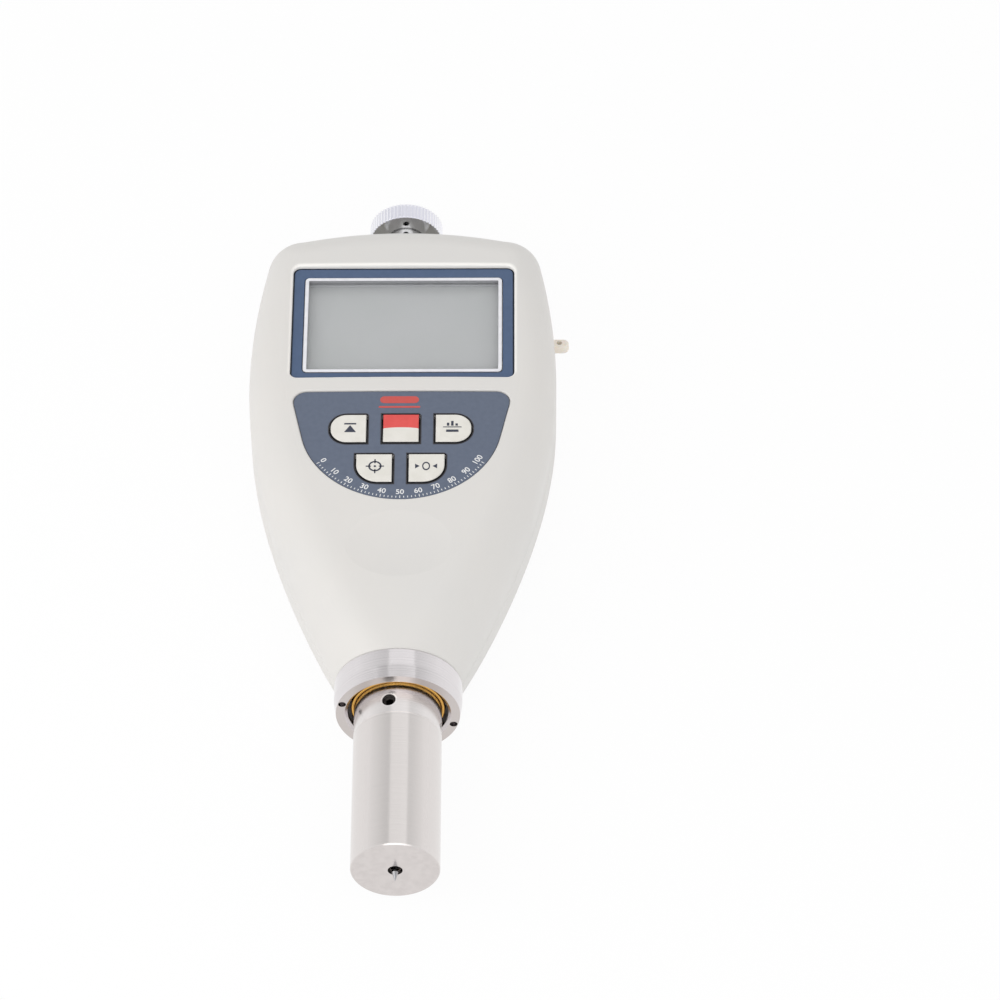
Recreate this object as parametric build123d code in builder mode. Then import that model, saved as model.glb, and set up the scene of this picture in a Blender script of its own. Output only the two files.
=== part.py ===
from build123d import *
import os
from math import cos, radians, sin, sqrt, tan

# Hand-held digital hardness tester, lying on its back. Millimetres.
# X is to the right, Y runs from the probe to the knob and Z points out of the display.
# The origin is the centre of the flat back, on the plane of symmetry.

# Case: overall form
BODY_LENGTH = 117.4
BODY_WIDTH = 65.6
BODY_THICKNESS = 28.0
NOSE_WIDTH = 25.8
NOSE_SLOPE = 0.44
NOSE_TAPER = 20.0
WIDEST_FROM_NOSE = 76.5
TOP_WIDTH = 55.4
FRONT_CROWN_RADIUS = 1200.0
TOP_CROWN_RADIUS = 100.0
SIDE_EDGE_RADIUS = 7.6
NOSE_FLAT = 0.5
BACK_TRIM = 0.45
TOP_EDGE_RADIUS = 7.0
NOSE_EDGE_RADIUS = 0.4
SECTION_COUNT = 13
TOP_OVERRUN = 5.0
WALL = 2.2
NOSE_WALL = 4.0
WALL_BITE = 0.4
PARTING_GROOVE = 0.15

# Clearances shared by the fits
SEAT_GAP = 0.1
TRIM_CLEARANCE = 0.15
RUNNING_CLEARANCE = 0.05
DOOR_CLEARANCE = 0.25

# Display
DISPLAY_FROM_TOP = 29.4
BEZEL_FROM_SIDE = 9.25
BEZEL_GAP = 0.3
BEZEL_CORNER = 1.4
BEZEL_THICKNESS = 0.8
BEZEL_DEPTH = 1.2
BEZEL_EDGE = 0.12
RECESS_EDGE = 0.7
BORDER_SIDE = 2.35
BORDER_TOP = 2.6
BORDER_LOW = 1.75
TRIM_HEIGHT = 26.9
TRIM_CORNER = 0.9
TRIM_LINE = 0.8
TRIM_PROUD = 0.1
TRIM_EDGE = 0.15
WINDOW_LAP = 1.0
WINDOW_THICKNESS = 0.6
LEDGE_THICKNESS = 0.6
LEDGE_RIM = 1.4
LCD_MARGIN = 1.9
LCD_THICKNESS = 2.4
HOLDER_WALL = 1.2
CONNECTOR_WIDTH = 2.0
CONNECTOR_INSET = 1.0

# Keypad
KEYPAD_GAP = 4.45
KEYPAD_ARC_RADIUS = 21.2
KEYPAD_ARC_DROP = 8.4
KEYPAD_ARC_SPAN = 78.0
KEYPAD_CORNER = 2.8
OVERLAY_DEPTH = 0.4
OVERLAY_THICKNESS = 0.5
KEYPAD_EDGE = 0.35
KEY_WIDTH = 7.5
KEY_HEIGHT = 7.5
KEY_CORNER = 0.3
LOWER_KEY_ROUND = 4.6
KEY_COLUMN = 11.05
LOWER_KEY_COLUMN = 5.5
UPPER_ROW_DROP = 1.95
LOWER_ROW_DROP = 12.85
KEY_GAP = 0.35
KEY_PROUD = 0.35
KEY_EDGE = 0.3
KEY_FLANGE = 0.6
KEY_FLANGE_THICKNESS = 1.0
KEY_STEM_DIAMETER = 3.2
KEY_TRAVEL = 0.6
SWITCH_SIZE = 6.0
SWITCH_HEIGHT = 2.4
SWITCH_NUB_DIAMETER = 3.4
SWITCH_NUB_HEIGHT = 0.6

# Thumb dish below the keypad
DISH_GAP = 12.0
DISH_WIDTH = 22.2
DISH_LENGTH = 17.8
DISH_DEPTH = 0.8

# Circuit board
BOARD_THICKNESS = 1.6
BOARD_LIFT = 1.8
BOARD_SIDE_GAP = 0.7
BOARD_BELOW_KEYPAD = 7.0
BOARD_TAB_INNER = 9.0
BOARD_TAB_OUTER = 15.6
BOARD_TAB_LENGTH = 6.0
BOARD_SCREW_DIAMETER = 2.0
BOARD_SCREW_HEAD = 3.6
BOARD_SCREW_HEAD_HEIGHT = 1.2
BOARD_SCREW_LENGTH = 6.0
BOARD_BOSS_DIAMETER = 4.8
BOARD_SCREW_INSET = 4.0
CHIP_HEIGHT = 1.4
CHIP_LENGTH = 9.0
CHIP_WIDTH = 5.0
CHIP_SPREAD = 11.0
PROCESSOR_SIZE = 11.0
CRYSTAL_LENGTH = 8.0
CRYSTAL_WIDTH = 3.6

# Battery well, cells and door
CELL_DIAMETER = 10.5
CELL_LENGTH = 44.5
CELL_COUNT = 4
CELL_PITCH = 11.0
CELL_SIDE_ROOM = 0.3
CONTACT_DEPTH = 2.2
CONTACT_PLATE = 0.5
CONTACT_WIDTH = 8.0
CONTACT_PAD_DIAMETER = 5.0
CELL_TIP_DIAMETER = 3.8
CELL_TIP_LENGTH = 0.8
WELL_WALL = 1.6
WELL_ROOF = 1.4
WELL_FROM_TOP = 39.5
DOOR_THICKNESS = 2.0
DOOR_LAP = 0.9
DOOR_CORNER = 2.0
DOOR_GRIP_COUNT = 5
DOOR_GRIP_PITCH = 2.4
DOOR_GRIP_WIDTH = 16.0
DOOR_GRIP_GROOVE = 0.9
DOOR_GRIP_DEPTH = 0.5

# Data jack and its dust plug
JACK_FROM_TOP = 24.5
JACK_BORE = 3.5
JACK_WIDTH = 6.5
JACK_BELOW_AXIS = 2.6
PLUG_NECK_DIAMETER = 4.4
TAB_LENGTH = 3.4
TAB_WIDTH = 2.4
TAB_THICKNESS = 2.4
TAB_EDGE = 0.5
EYE_DIAMETER = 1.2
EYE_FROM_CASE = 1.35

# Case screws
CASE_SCREW_DIAMETER = 2.5
CASE_SCREW_HEAD = 4.8
CASE_SCREW_HEAD_HEIGHT = 1.8
CASE_SCREW_BITE = 7.0
CASE_POST_DIAMETER = 6.8
CASE_POST_SEAT = 6.0
CASE_POST_SIDE_GAP = 1.0
LOWER_POST_FROM_NOSE = 14.0
UPPER_POST_FROM_TOP = 8.5
DRIVE_SLOT = 0.6

# Knob at the top, with its bush
KNOB_DIAMETER = 16.0
KNOB_RIM = 4.0
KNOB_CHAMFER = 0.15
KNURL_COUNT = 60
KNURL_DEPTH = 0.38
HUB_DIAMETER = 8.2
HUB_LENGTH = 5.65
HUB_GROOVE_WIDTH = 0.4
HUB_GROOVE_DEPTH = 0.3
TOMMY_HOLE = 1.3
TOMMY_FROM_RIM = 1.5
STUD_DIAMETER = 6.0
STUD_LENGTH = 10.0
WASHER_DIAMETER = 10.0
WASHER_THICKNESS = 0.6
BUSH_DIAMETER = 10.0
BUSH_LENGTH = 11.5
BUSH_PROUD = 0.3
BUSH_FLANGE = 1.6
BUSH_FLANGE_LENGTH = 2.0
BUSH_BLOCK_WALL = 1.6

# Probe: collar, sleeve and presser foot
COLLAR_DIAMETER = 26.3
COLLAR_FACE_DIAMETER = 25.4
COLLAR_LENGTH = 7.0
COLLAR_BAND = 4.2
COLLAR_BORE = 20.6
COLLAR_BORE_EDGE = 0.6
COLLAR_EDGE = 0.3
PIN_HOLE_DIAMETER = 1.6
PIN_HOLE_DEPTH = 3.0
PIN_HOLE_TURN = 16.5
RING_RECESS = 0.6
RING_WIDTH = 1.0
RING_EDGE = 0.4
FOOT_DIAMETER = 18.0
FOOT_LENGTH = 33.0
FOOT_FLOOR = 3.0
FOOT_BORE = 13.0
FOOT_HOLE = 3.0
FOOT_EDGE = 0.25
SEAM_EDGE = 0.15
SLEEVE_EXPOSED = 6.0
SLEEVE_RELIEF = 0.2
SLEEVE_SPIGOT = 8.0
SLEEVE_BORE = 9.2
SLEEVE_NECK_DIAMETER = 16.0
SLEEVE_NECK_LENGTH = 12.0
NUT_DIAMETER = 21.0
NUT_THICKNESS = 5.0
GRUB_DIAMETER = 2.8
GRUB_BELOW_COLLAR = 3.0
GRUB_TURN = 10.4
GRUB_RECESS = 0.9
GRUB_SOCKET = 1.5
GRUB_SOCKET_DEPTH = 1.2

# Indenter, plunger, spring and guides
INDENTER_TRAVEL = 2.5
INDENTER_DIAMETER = 1.25
INDENTER_CONE_ANGLE = 30.0
INDENTER_TIP_RADIUS = 0.1
INDENTER_GRIP = 6.0
PLUNGER_BOSS = 6.0
PLUNGER_BOSS_GAP = 0.5
PLUNGER_FLANGE = 8.6
PLUNGER_FLANGE_LENGTH = 2.0
PLUNGER_SHAFT = 4.0
GUIDE_LENGTH = 5.0
SPRING_DIAMETER = 8.4
SPRING_WIRE = 1.0
ADJUSTER_LENGTH = 6.0
ADJUSTER_HOLE = 4.4
REAR_GUIDE_LENGTH = 7.0

# Displacement sensor
SENSOR_GAP = 3.0
COIL_DIAMETER = 16.0
COIL_BORE = 5.8
COIL_FLANGE = 1.5
COIL_TUBE_WALL = 1.0
WINDING_DIAMETER = 14.4
CORE_DIAMETER = 4.8
CORE_STANDOFF = 2.0
CRADLE_WIDTH = 3.0

# Places along Y
NOSE_Y = -BODY_LENGTH / 2
TOP_Y = BODY_LENGTH / 2
DISPLAY_Y = TOP_Y - DISPLAY_FROM_TOP
BEZEL_LOW_Y = DISPLAY_Y - TRIM_HEIGHT / 2 - BORDER_LOW
BEZEL_HIGH_Y = DISPLAY_Y + TRIM_HEIGHT / 2 + BORDER_TOP
BEZEL_Y = (BEZEL_LOW_Y + BEZEL_HIGH_Y) / 2
KEYPAD_TOP_Y = BEZEL_LOW_Y - KEYPAD_GAP
KEYPAD_ARC_Y = KEYPAD_TOP_Y - KEYPAD_ARC_DROP
KEYPAD_LOW_Y = KEYPAD_ARC_Y - KEYPAD_ARC_RADIUS
DISH_Y = KEYPAD_LOW_Y - DISH_GAP
WELL_Y = TOP_Y - WELL_FROM_TOP
JACK_Y = TOP_Y - JACK_FROM_TOP

# Heights
PARTING_Z = BODY_THICKNESS / 2
AXIS_Z = PARTING_Z
BEZEL_SEAT_Z = BODY_THICKNESS - BEZEL_DEPTH - BEZEL_THICKNESS
BEZEL_TOP_Z = BEZEL_SEAT_Z + BEZEL_THICKNESS
WINDOW_SEAT_Z = BEZEL_SEAT_Z - WINDOW_THICKNESS
LEDGE_Z = WINDOW_SEAT_Z - LEDGE_THICKNESS
LCD_TOP_Z = LEDGE_Z - SEAT_GAP
LCD_LOW_Z = LCD_TOP_Z - LCD_THICKNESS
CELL_Z = DOOR_THICKNESS + SEAT_GAP + CELL_DIAMETER / 2
WELL_CEILING_Z = CELL_Z + CELL_DIAMETER / 2 + SEAT_GAP
WELL_TOP_Z = WELL_CEILING_Z + WELL_ROOF
BOARD_LOW_Z = WELL_TOP_Z + BOARD_LIFT
BOARD_TOP_Z = BOARD_LOW_Z + BOARD_THICKNESS
SWITCH_TOP_Z = BOARD_TOP_Z + SWITCH_HEIGHT + SWITCH_NUB_HEIGHT
KEY_STEM_LOW_Z = SWITCH_TOP_Z + KEY_TRAVEL + SEAT_GAP

# Places along the probe axis, measured from the nose of the case and negative outside it
COLLAR_FACE = -COLLAR_LENGTH
SEAM = COLLAR_FACE - SLEEVE_EXPOSED
FOOT_FACE = SEAM - FOOT_LENGTH
FOOT_INSIDE = FOOT_FACE + FOOT_FLOOR
SPIGOT_END = SEAM - SLEEVE_SPIGOT
GUIDE_TOP = FOOT_INSIDE + GUIDE_LENGTH
FLANGE_LOW = GUIDE_TOP + RUNNING_CLEARANCE
FLANGE_TOP = FLANGE_LOW + PLUNGER_FLANGE_LENGTH
ADJUSTER_LOW = SEAM
ADJUSTER_TOP = ADJUSTER_LOW + ADJUSTER_LENGTH
COIL_LOW = SLEEVE_NECK_LENGTH
COIL_TOP = KEYPAD_LOW_Y - NOSE_Y - SENSOR_GAP
COIL_MIDDLE = (COIL_LOW + COIL_TOP) / 2
CORE_LOW = COIL_LOW + CORE_STANDOFF
CORE_TOP = COIL_TOP - COIL_FLANGE - INDENTER_TRAVEL - CORE_STANDOFF
INDENTER_TIP = FOOT_FACE - INDENTER_TRAVEL
PLUNGER_LOW = FOOT_INSIDE + PLUNGER_BOSS_GAP

# Sizes of what fits together
BEZEL_WIDTH = BODY_WIDTH - 2 * BEZEL_FROM_SIDE
BEZEL_HEIGHT = BEZEL_HIGH_Y - BEZEL_LOW_Y
TRIM_WIDTH = BEZEL_WIDTH - 2 * BORDER_SIDE
WINDOW_WIDTH = TRIM_WIDTH + 2 * WINDOW_LAP
WINDOW_HEIGHT = TRIM_HEIGHT + 2 * WINDOW_LAP
LCD_WIDTH = TRIM_WIDTH + 2 * LCD_MARGIN
LCD_HEIGHT = TRIM_HEIGHT + 2 * LCD_MARGIN
WELL_WIDTH = (CELL_COUNT - 1) * CELL_PITCH + CELL_DIAMETER + 2 * CELL_SIDE_ROOM
WELL_LENGTH = CELL_LENGTH + 2 * CONTACT_DEPTH
DOOR_WIDTH = WELL_WIDTH + 2 * DOOR_LAP
DOOR_LENGTH = WELL_LENGTH + 2 * DOOR_LAP

PROBE_AXIS = Axis((0, NOSE_Y, AXIS_Z), (0, 1, 0))
PROBE_PLANE = Plane(origin=(0, NOSE_Y, AXIS_Z), x_dir=(0, 1, 0), z_dir=(1, 0, 0))
KNOB_PLANE = Plane(origin=(0, TOP_Y, AXIS_Z), x_dir=(0, 1, 0), z_dir=(1, 0, 0))
FROM_BELOW = (Align.CENTER, Align.CENTER, Align.MIN)

os.makedirs("parts", exist_ok=True)
pieces = {}


def half_width(y):
    """Half width of the case: a cubic from the nose to the widest place, then a shallow bow."""
    distance = y - NOSE_Y
    widest = BODY_WIDTH / 2
    if distance > WIDEST_FROM_NOSE:
        share = (distance - WIDEST_FROM_NOSE) / (BODY_LENGTH - WIDEST_FROM_NOSE)
        return widest - (widest - TOP_WIDTH / 2) * share**2
    t = distance / WIDEST_FROM_NOSE
    from_nose = NOSE_WIDTH / 2 * (2 * t**3 - 3 * t**2 + 1)
    to_widest = widest * (3 * t**2 - 2 * t**3)
    spread = NOSE_SLOPE * WIDEST_FROM_NOSE * (t**3 - 2 * t**2 + t)
    return from_nose + to_widest + spread


def edge_radius(y):
    """Rounding of the long edges: nearly a full round at the nose, tighter at the widest place."""
    nose_radius = NOSE_WIDTH / 2 - NOSE_FLAT
    share = max(1 - (y - NOSE_Y) / WIDEST_FROM_NOSE, 0)
    return SIDE_EDGE_RADIUS + (nose_radius - SIDE_EDGE_RADIUS) * share


def nose_share(y):
    """How far the section at y takes the round form of the nose: 1 at the nose, 0 past its taper."""
    return max(1 - (y - NOSE_Y) / NOSE_TAPER, 0) ** 2


def front_height(x):
    """Height of the crowned front face above the back."""
    return BODY_THICKNESS - FRONT_CROWN_RADIUS + sqrt(FRONT_CROWN_RADIUS**2 - x**2)


def case_section(y, inset):
    """Cross-section of the case at y, moved inwards by inset: flat back, round edges, crowned front."""
    share = nose_share(y)
    lift = (AXIS_Z - NOSE_WIDTH / 2) * share
    low = inset - BACK_TRIM * (1 - share) + lift
    width = half_width(y) - inset
    radius = edge_radius(y) - inset
    crown = FRONT_CROWN_RADIUS - inset
    crown_centre = BODY_THICKNESS - FRONT_CROWN_RADIUS - lift
    corner_x = width - radius
    corner_z = crown_centre + sqrt((crown - radius) ** 2 - corner_x**2)
    tangent = Vector(corner_x, corner_z - crown_centre).normalized()
    touch = Vector(0, crown_centre) + tangent * crown
    upper = Vector(corner_x, corner_z) + (tangent + Vector(1, 0)).normalized() * radius
    lower = Vector(corner_x, low + radius) + Vector(1, -1).normalized() * radius
    plane = Plane(origin=(0, y, 0), x_dir=(1, 0, 0), z_dir=(0, -1, 0))
    with BuildSketch(plane) as face:
        with BuildLine():
            Line((-corner_x, low), (corner_x, low))
            ThreePointArc((corner_x, low), (lower.X, lower.Y), (width, low + radius))
            Line((width, low + radius), (width, corner_z))
            ThreePointArc((width, corner_z), (upper.X, upper.Y), (touch.X, touch.Y))
            ThreePointArc((touch.X, touch.Y), (0, crown_centre + crown), (-touch.X, touch.Y))
            ThreePointArc((-touch.X, touch.Y), (-upper.X, upper.Y), (-width, corner_z))
            Line((-width, corner_z), (-width, low + radius))
            ThreePointArc((-width, low + radius), (-lower.X, lower.Y), (-corner_x, low))
        make_face()
    return face.sketch


def case_form(inset, start):
    """Whole solid form of the case, moved inwards by inset and starting at a distance from the nose."""
    first = NOSE_Y + start
    step = (TOP_Y + TOP_OVERRUN - first) / (SECTION_COUNT - 1)
    sections = [case_section(first + step * i, inset) for i in range(SECTION_COUNT)]
    with BuildPart() as form:
        loft(sections)
        split(bisect_by=Plane.XY.offset(inset), keep=Keep.TOP)
        with BuildSketch(Plane.XY):
            with Locations((0, TOP_Y)):
                Rectangle(2 * BODY_WIDTH, TOP_CROWN_RADIUS)
            with Locations((0, TOP_Y - TOP_CROWN_RADIUS)):
                Circle(TOP_CROWN_RADIUS - inset, mode=Mode.SUBTRACT)
        extrude(amount=2 * BODY_THICKNESS, mode=Mode.SUBTRACT)
        fillet(form.faces().sort_by(Axis.Y)[-1].edges(), TOP_EDGE_RADIUS - inset)
    return form.part


def crown_cylinder(depth):
    """Long cylinder whose surface lies a depth below the crowned front face."""
    with BuildPart() as cylinder:
        with BuildSketch(Plane.XZ):
            with Locations((0, BODY_THICKNESS - FRONT_CROWN_RADIUS)):
                Circle(FRONT_CROWN_RADIUS - depth)
        extrude(amount=BODY_LENGTH, both=True)
    return cylinder.part


def dish_form():
    """Barrel that cuts the thumb dish, with its own curvature along and across the case."""
    across = 1 / (8 * DISH_DEPTH / DISH_WIDTH**2 - 1 / FRONT_CROWN_RADIUS)
    along = DISH_LENGTH**2 / (8 * DISH_DEPTH)
    reach = 0.75 * DISH_LENGTH
    low = BODY_THICKNESS - DISH_DEPTH
    rise = along - sqrt(along**2 - reach**2)
    axis_z = low + across
    with BuildPart() as barrel:
        with BuildSketch(Plane.YZ):
            with BuildLine():
                start = (DISH_Y - reach, low + rise)
                end = (DISH_Y + reach, low + rise)
                ThreePointArc(start, (DISH_Y, low), end)
                Polyline(end, (DISH_Y + reach, axis_z), (DISH_Y - reach, axis_z), start)
            make_face()
        revolve(axis=Axis((0, DISH_Y, axis_z), (0, 1, 0)))
    return barrel.part


def keypad_outline(grow):
    """Half-moon outline of the keypad, grown by a margin."""
    span = radians(KEYPAD_ARC_SPAN)
    end_x = KEYPAD_ARC_RADIUS * sin(span)
    end_y = KEYPAD_ARC_Y - KEYPAD_ARC_RADIUS * cos(span)
    corner_x = end_x + (KEYPAD_TOP_Y - end_y) / tan(span)
    with BuildSketch(Plane.XY) as outline:
        with BuildLine():
            ThreePointArc((-end_x, end_y), (0, KEYPAD_LOW_Y), (end_x, end_y))
            Polyline((end_x, end_y), (corner_x, KEYPAD_TOP_Y), (-corner_x, KEYPAD_TOP_Y), (-end_x, end_y))
        make_face()
        fillet(outline.vertices().group_by(Axis.Y)[-1], KEYPAD_CORNER)
        if grow:
            offset(amount=grow)
    return outline.sketch


def turned(start, end, inner, outer):
    """Rectangle of a turned profile: start to end along the axis, inner to outer radius."""
    with Locations(((start + end) / 2, (inner + outer) / 2)):
        Rectangle(end - start, outer - inner)


def bezel_outline(grow):
    RectangleRounded(BEZEL_WIDTH + 2 * grow, BEZEL_HEIGHT + 2 * grow, BEZEL_CORNER + grow)


def trim_outline(grow, mode):
    RectangleRounded(TRIM_WIDTH + 2 * grow, TRIM_HEIGHT + 2 * grow, TRIM_CORNER + grow, mode=mode)


def cross_slots(places, z, length):
    """Cross recess in the heads of screws that are driven upwards from height z."""
    with BuildPart(mode=Mode.PRIVATE) as slots:
        for width, depth in ((length * 0.6, DRIVE_SLOT), (DRIVE_SLOT, length * 0.6)):
            with Locations(*[(x, y, z) for x, y in places]):
                Box(width, depth, DRIVE_SLOT, align=FROM_BELOW)
    add(slots.part, mode=Mode.SUBTRACT)


def door_outline(grow):
    RectangleRounded(DOOR_WIDTH + 2 * grow, DOOR_LENGTH + 2 * grow, DOOR_CORNER + grow)


def keypad_form(grow, depth):
    """Half-moon slab from a depth below the crown down to the floor of the keypad recess."""
    with BuildPart() as slab:
        extrude(keypad_outline(grow), amount=2 * BODY_THICKNESS)
        if depth:
            add(crown_cylinder(depth), mode=Mode.INTERSECT)
        add(crown_cylinder(OVERLAY_DEPTH + OVERLAY_THICKNESS), mode=Mode.SUBTRACT)
    return slab.part


def on_crown(point):
    return point.Z > front_height(point.X) - OVERLAY_DEPTH / 2


class Key:
    """Place of one key, and which of its corners are rounded."""

    def __init__(self, x, row_drop, side, lower):
        self.x = x
        self.y = KEYPAD_ARC_Y - row_drop
        self.side = side
        self.lower = lower

    def outline(self, grow, z):
        """Outline grown by a margin, at height z."""
        with BuildSketch(Plane.XY.offset(z)) as face:
            with Locations((self.x, self.y)):
                Rectangle(KEY_WIDTH + 2 * grow, KEY_HEIGHT + 2 * grow)
            if self.side:
                corners = face.vertices().sort_by(lambda corner: -corner.X * self.side)[:2]
                if self.lower:
                    fillet(corners.sort_by(Axis.Y)[:1], LOWER_KEY_ROUND + grow)
                else:
                    fillet(corners, KEY_HEIGHT / 2 - KEY_CORNER + grow)
        return face.sketch

    def top_z(self):
        return front_height(self.x) - OVERLAY_DEPTH + KEY_PROUD

    def flange_z(self):
        outer_x = abs(self.x) + KEY_WIDTH / 2 + KEY_GAP + KEY_FLANGE
        return front_height(outer_x) - WALL - SEAT_GAP


KEYS = {
    "key_peak": Key(-KEY_COLUMN, UPPER_ROW_DROP, -1, False),
    "key_power": Key(0, UPPER_ROW_DROP, 0, False),
    "key_mean": Key(KEY_COLUMN, UPPER_ROW_DROP, 1, False),
    "key_calibrate": Key(-LOWER_KEY_COLUMN, LOWER_ROW_DROP, -1, True),
    "key_zero": Key(LOWER_KEY_COLUMN, LOWER_ROW_DROP, 1, True),
}

# Places of the case screws and board screws
LOWER_POST_Y = NOSE_Y + LOWER_POST_FROM_NOSE
UPPER_POST_Y = TOP_Y - UPPER_POST_FROM_TOP
POST_INSET = WALL + CASE_POST_DIAMETER / 2 + CASE_POST_SIDE_GAP
LOWER_POST_X = half_width(LOWER_POST_Y) - POST_INSET
UPPER_POST_X = half_width(UPPER_POST_Y) - POST_INSET
CASE_POSTS = [
    (side * x, y) for x, y in ((LOWER_POST_X, LOWER_POST_Y), (UPPER_POST_X, UPPER_POST_Y)) for side in (-1, 1)
]
BOARD_LOW_Y = KEYPAD_LOW_Y - BOARD_BELOW_KEYPAD
BOARD_TAB_Y = DISPLAY_Y + LCD_HEIGHT / 2 + HOLDER_WALL
BOARD_HIGH_Y = BOARD_TAB_Y + BOARD_TAB_LENGTH
BOARD_HALF = half_width(BOARD_LOW_Y) - WALL - BOARD_SIDE_GAP
BOARD_SCREW_LOW = (BOARD_HALF - BOARD_SCREW_INSET, BOARD_LOW_Y + BOARD_SCREW_INSET)
BOARD_SCREW_HIGH = ((BOARD_TAB_INNER + BOARD_TAB_OUTER) / 2, BOARD_HIGH_Y - BOARD_TAB_LENGTH / 2)
BOARD_SCREWS = [(side * x, y) for x, y in (BOARD_SCREW_LOW, BOARD_SCREW_HIGH) for side in (-1, 1)]

# Data jack: between the battery well and the inside of the case wall
JACK_SIDE = min(half_width(JACK_Y - JACK_WIDTH / 2), half_width(JACK_Y + JACK_WIDTH / 2))
TAB_LOW_X = max(half_width(JACK_Y - TAB_WIDTH / 2), half_width(JACK_Y + TAB_WIDTH / 2)) + SEAT_GAP
JACK_INNER_X = WELL_WIDTH / 2 + WELL_WALL + SEAT_GAP
JACK_OUTER_X = JACK_SIDE - WALL - 2 * SEAT_GAP

with BuildPart() as rounded_form:
    add(case_form(0, 0))
    fillet(rounded_form.faces().sort_by(Axis.Y)[0].edges(), NOSE_EDGE_RADIUS)
outer_form = rounded_form.part
cavity = case_form(WALL, NOSE_WALL)

# Bores that both halves of the case share: probe neck, knob bush and dust plug
BUSH_LOW = BUSH_PROUD - BUSH_LENGTH
with BuildPart() as shared_bores:
    with BuildSketch(PROBE_PLANE):
        turned(-NOSE_WALL, 2 * NOSE_WALL, 0, SLEEVE_NECK_DIAMETER / 2 + SEAT_GAP)
    revolve(axis=PROBE_AXIS)
    with BuildSketch(KNOB_PLANE):
        turned(BUSH_LOW - SEAT_GAP, BUSH_LENGTH, 0, BUSH_DIAMETER / 2 + SEAT_GAP)
        flange_top = BUSH_LOW + BUSH_FLANGE_LENGTH + SEAT_GAP
        turned(BUSH_LOW - SEAT_GAP, flange_top, 0, BUSH_DIAMETER / 2 + BUSH_FLANGE + SEAT_GAP)
    revolve(axis=PROBE_AXIS)
    with BuildSketch(Plane.YZ.offset(JACK_OUTER_X)):
        with Locations((JACK_Y, AXIS_Z)):
            Circle(PLUG_NECK_DIAMETER / 2 + TRIM_CLEARANCE)
    extrude(amount=3 * WALL)

# Block that holds the knob's bush, shared between the halves
with BuildPart() as bush_block:
    block_half = BUSH_DIAMETER / 2 + BUSH_FLANGE + BUSH_BLOCK_WALL
    with Locations((0, TOP_Y - WALL, AXIS_Z)):
        Box(
            2 * block_half,
            BUSH_LENGTH - BUSH_PROUD - WALL + SEAT_GAP,
            2 * block_half,
            align=(Align.CENTER, Align.MAX, Align.CENTER),
        )

# Front shell
with BuildPart() as front_shell:
    add(outer_form)
    split(bisect_by=Plane.XY.offset(PARTING_Z), keep=Keep.TOP)
    chamfer(front_shell.faces().sort_by(Axis.Z)[0].outer_wire().edges(), PARTING_GROOVE)
    add(cavity, mode=Mode.SUBTRACT)
    # Ledge round the display, bosses for the screws and the upper half of the bush block
    with BuildSketch(Plane.XY.offset(LEDGE_Z)):
        with Locations((0, BEZEL_Y)):
            Rectangle(BEZEL_WIDTH + 2 * LEDGE_RIM, BEZEL_HEIGHT + 2 * LEDGE_RIM)
    extrude(amount=BODY_THICKNESS - WALL + WALL_BITE - LEDGE_Z)
    with BuildSketch(Plane.XY.offset(PARTING_Z)):
        with Locations(*CASE_POSTS):
            Circle(CASE_POST_DIAMETER / 2)
    extrude(amount=BODY_THICKNESS - WALL - PARTING_Z)
    with BuildSketch(Plane.XY.offset(BOARD_TOP_Z)):
        with Locations(*BOARD_SCREWS):
            Circle(BOARD_BOSS_DIAMETER / 2)
    extrude(amount=BODY_THICKNESS - WALL - BOARD_TOP_Z)
    add(bush_block.part)
    split(bisect_by=Plane.XY.offset(PARTING_Z), keep=Keep.TOP)
    add(outer_form, mode=Mode.INTERSECT)
    add(shared_bores.part, mode=Mode.SUBTRACT)
    with BuildSketch(Plane.XY.offset(PARTING_Z)):
        with Locations(*CASE_POSTS):
            Circle(CASE_SCREW_DIAMETER / 2 + RUNNING_CLEARANCE)
    extrude(amount=CASE_SCREW_BITE + CASE_SCREW_DIAMETER, mode=Mode.SUBTRACT)
    with BuildSketch(Plane.XY.offset(BOARD_TOP_Z)):
        with Locations(*BOARD_SCREWS):
            Circle(BOARD_SCREW_DIAMETER / 2 + RUNNING_CLEARANCE)
    extrude(amount=BOARD_SCREW_LENGTH, mode=Mode.SUBTRACT)
    # Stepped recess of the display: aperture, window seat, then bezel seat
    with BuildSketch(Plane.XY.offset(LEDGE_Z - WALL)):
        with Locations((0, DISPLAY_Y)):
            Rectangle(TRIM_WIDTH - 2 * TRIM_LINE, TRIM_HEIGHT - 2 * TRIM_LINE)
    extrude(amount=BODY_THICKNESS, mode=Mode.SUBTRACT)
    with BuildSketch(Plane.XY.offset(WINDOW_SEAT_Z)):
        with Locations((0, DISPLAY_Y)):
            Rectangle(WINDOW_WIDTH + 2 * TRIM_CLEARANCE, WINDOW_HEIGHT + 2 * TRIM_CLEARANCE)
    extrude(amount=BODY_THICKNESS, mode=Mode.SUBTRACT)
    with BuildSketch(Plane.XY.offset(BEZEL_SEAT_Z)):
        with Locations((0, BEZEL_Y)):
            bezel_outline(BEZEL_GAP)
    extrude(amount=BODY_THICKNESS, mode=Mode.SUBTRACT)
    lip = front_shell.edges(Select.LAST).filter_by(lambda edge: edge.center().Z > BEZEL_TOP_Z)
    fillet(lip, RECESS_EDGE)
    # Keypad recess, with its floor parallel to the crown, and the key holes
    add(keypad_form(TRIM_CLEARANCE, 0), mode=Mode.SUBTRACT)
    rim = front_shell.edges(Select.LAST).filter_by(lambda edge: on_crown(edge.center()))
    fillet(rim, KEYPAD_EDGE)
    for key in KEYS.values():
        extrude(key.outline(KEY_GAP, PARTING_Z), amount=BODY_THICKNESS, mode=Mode.SUBTRACT)
    add(dish_form(), mode=Mode.SUBTRACT)
pieces["front_shell"] = front_shell.part

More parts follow.
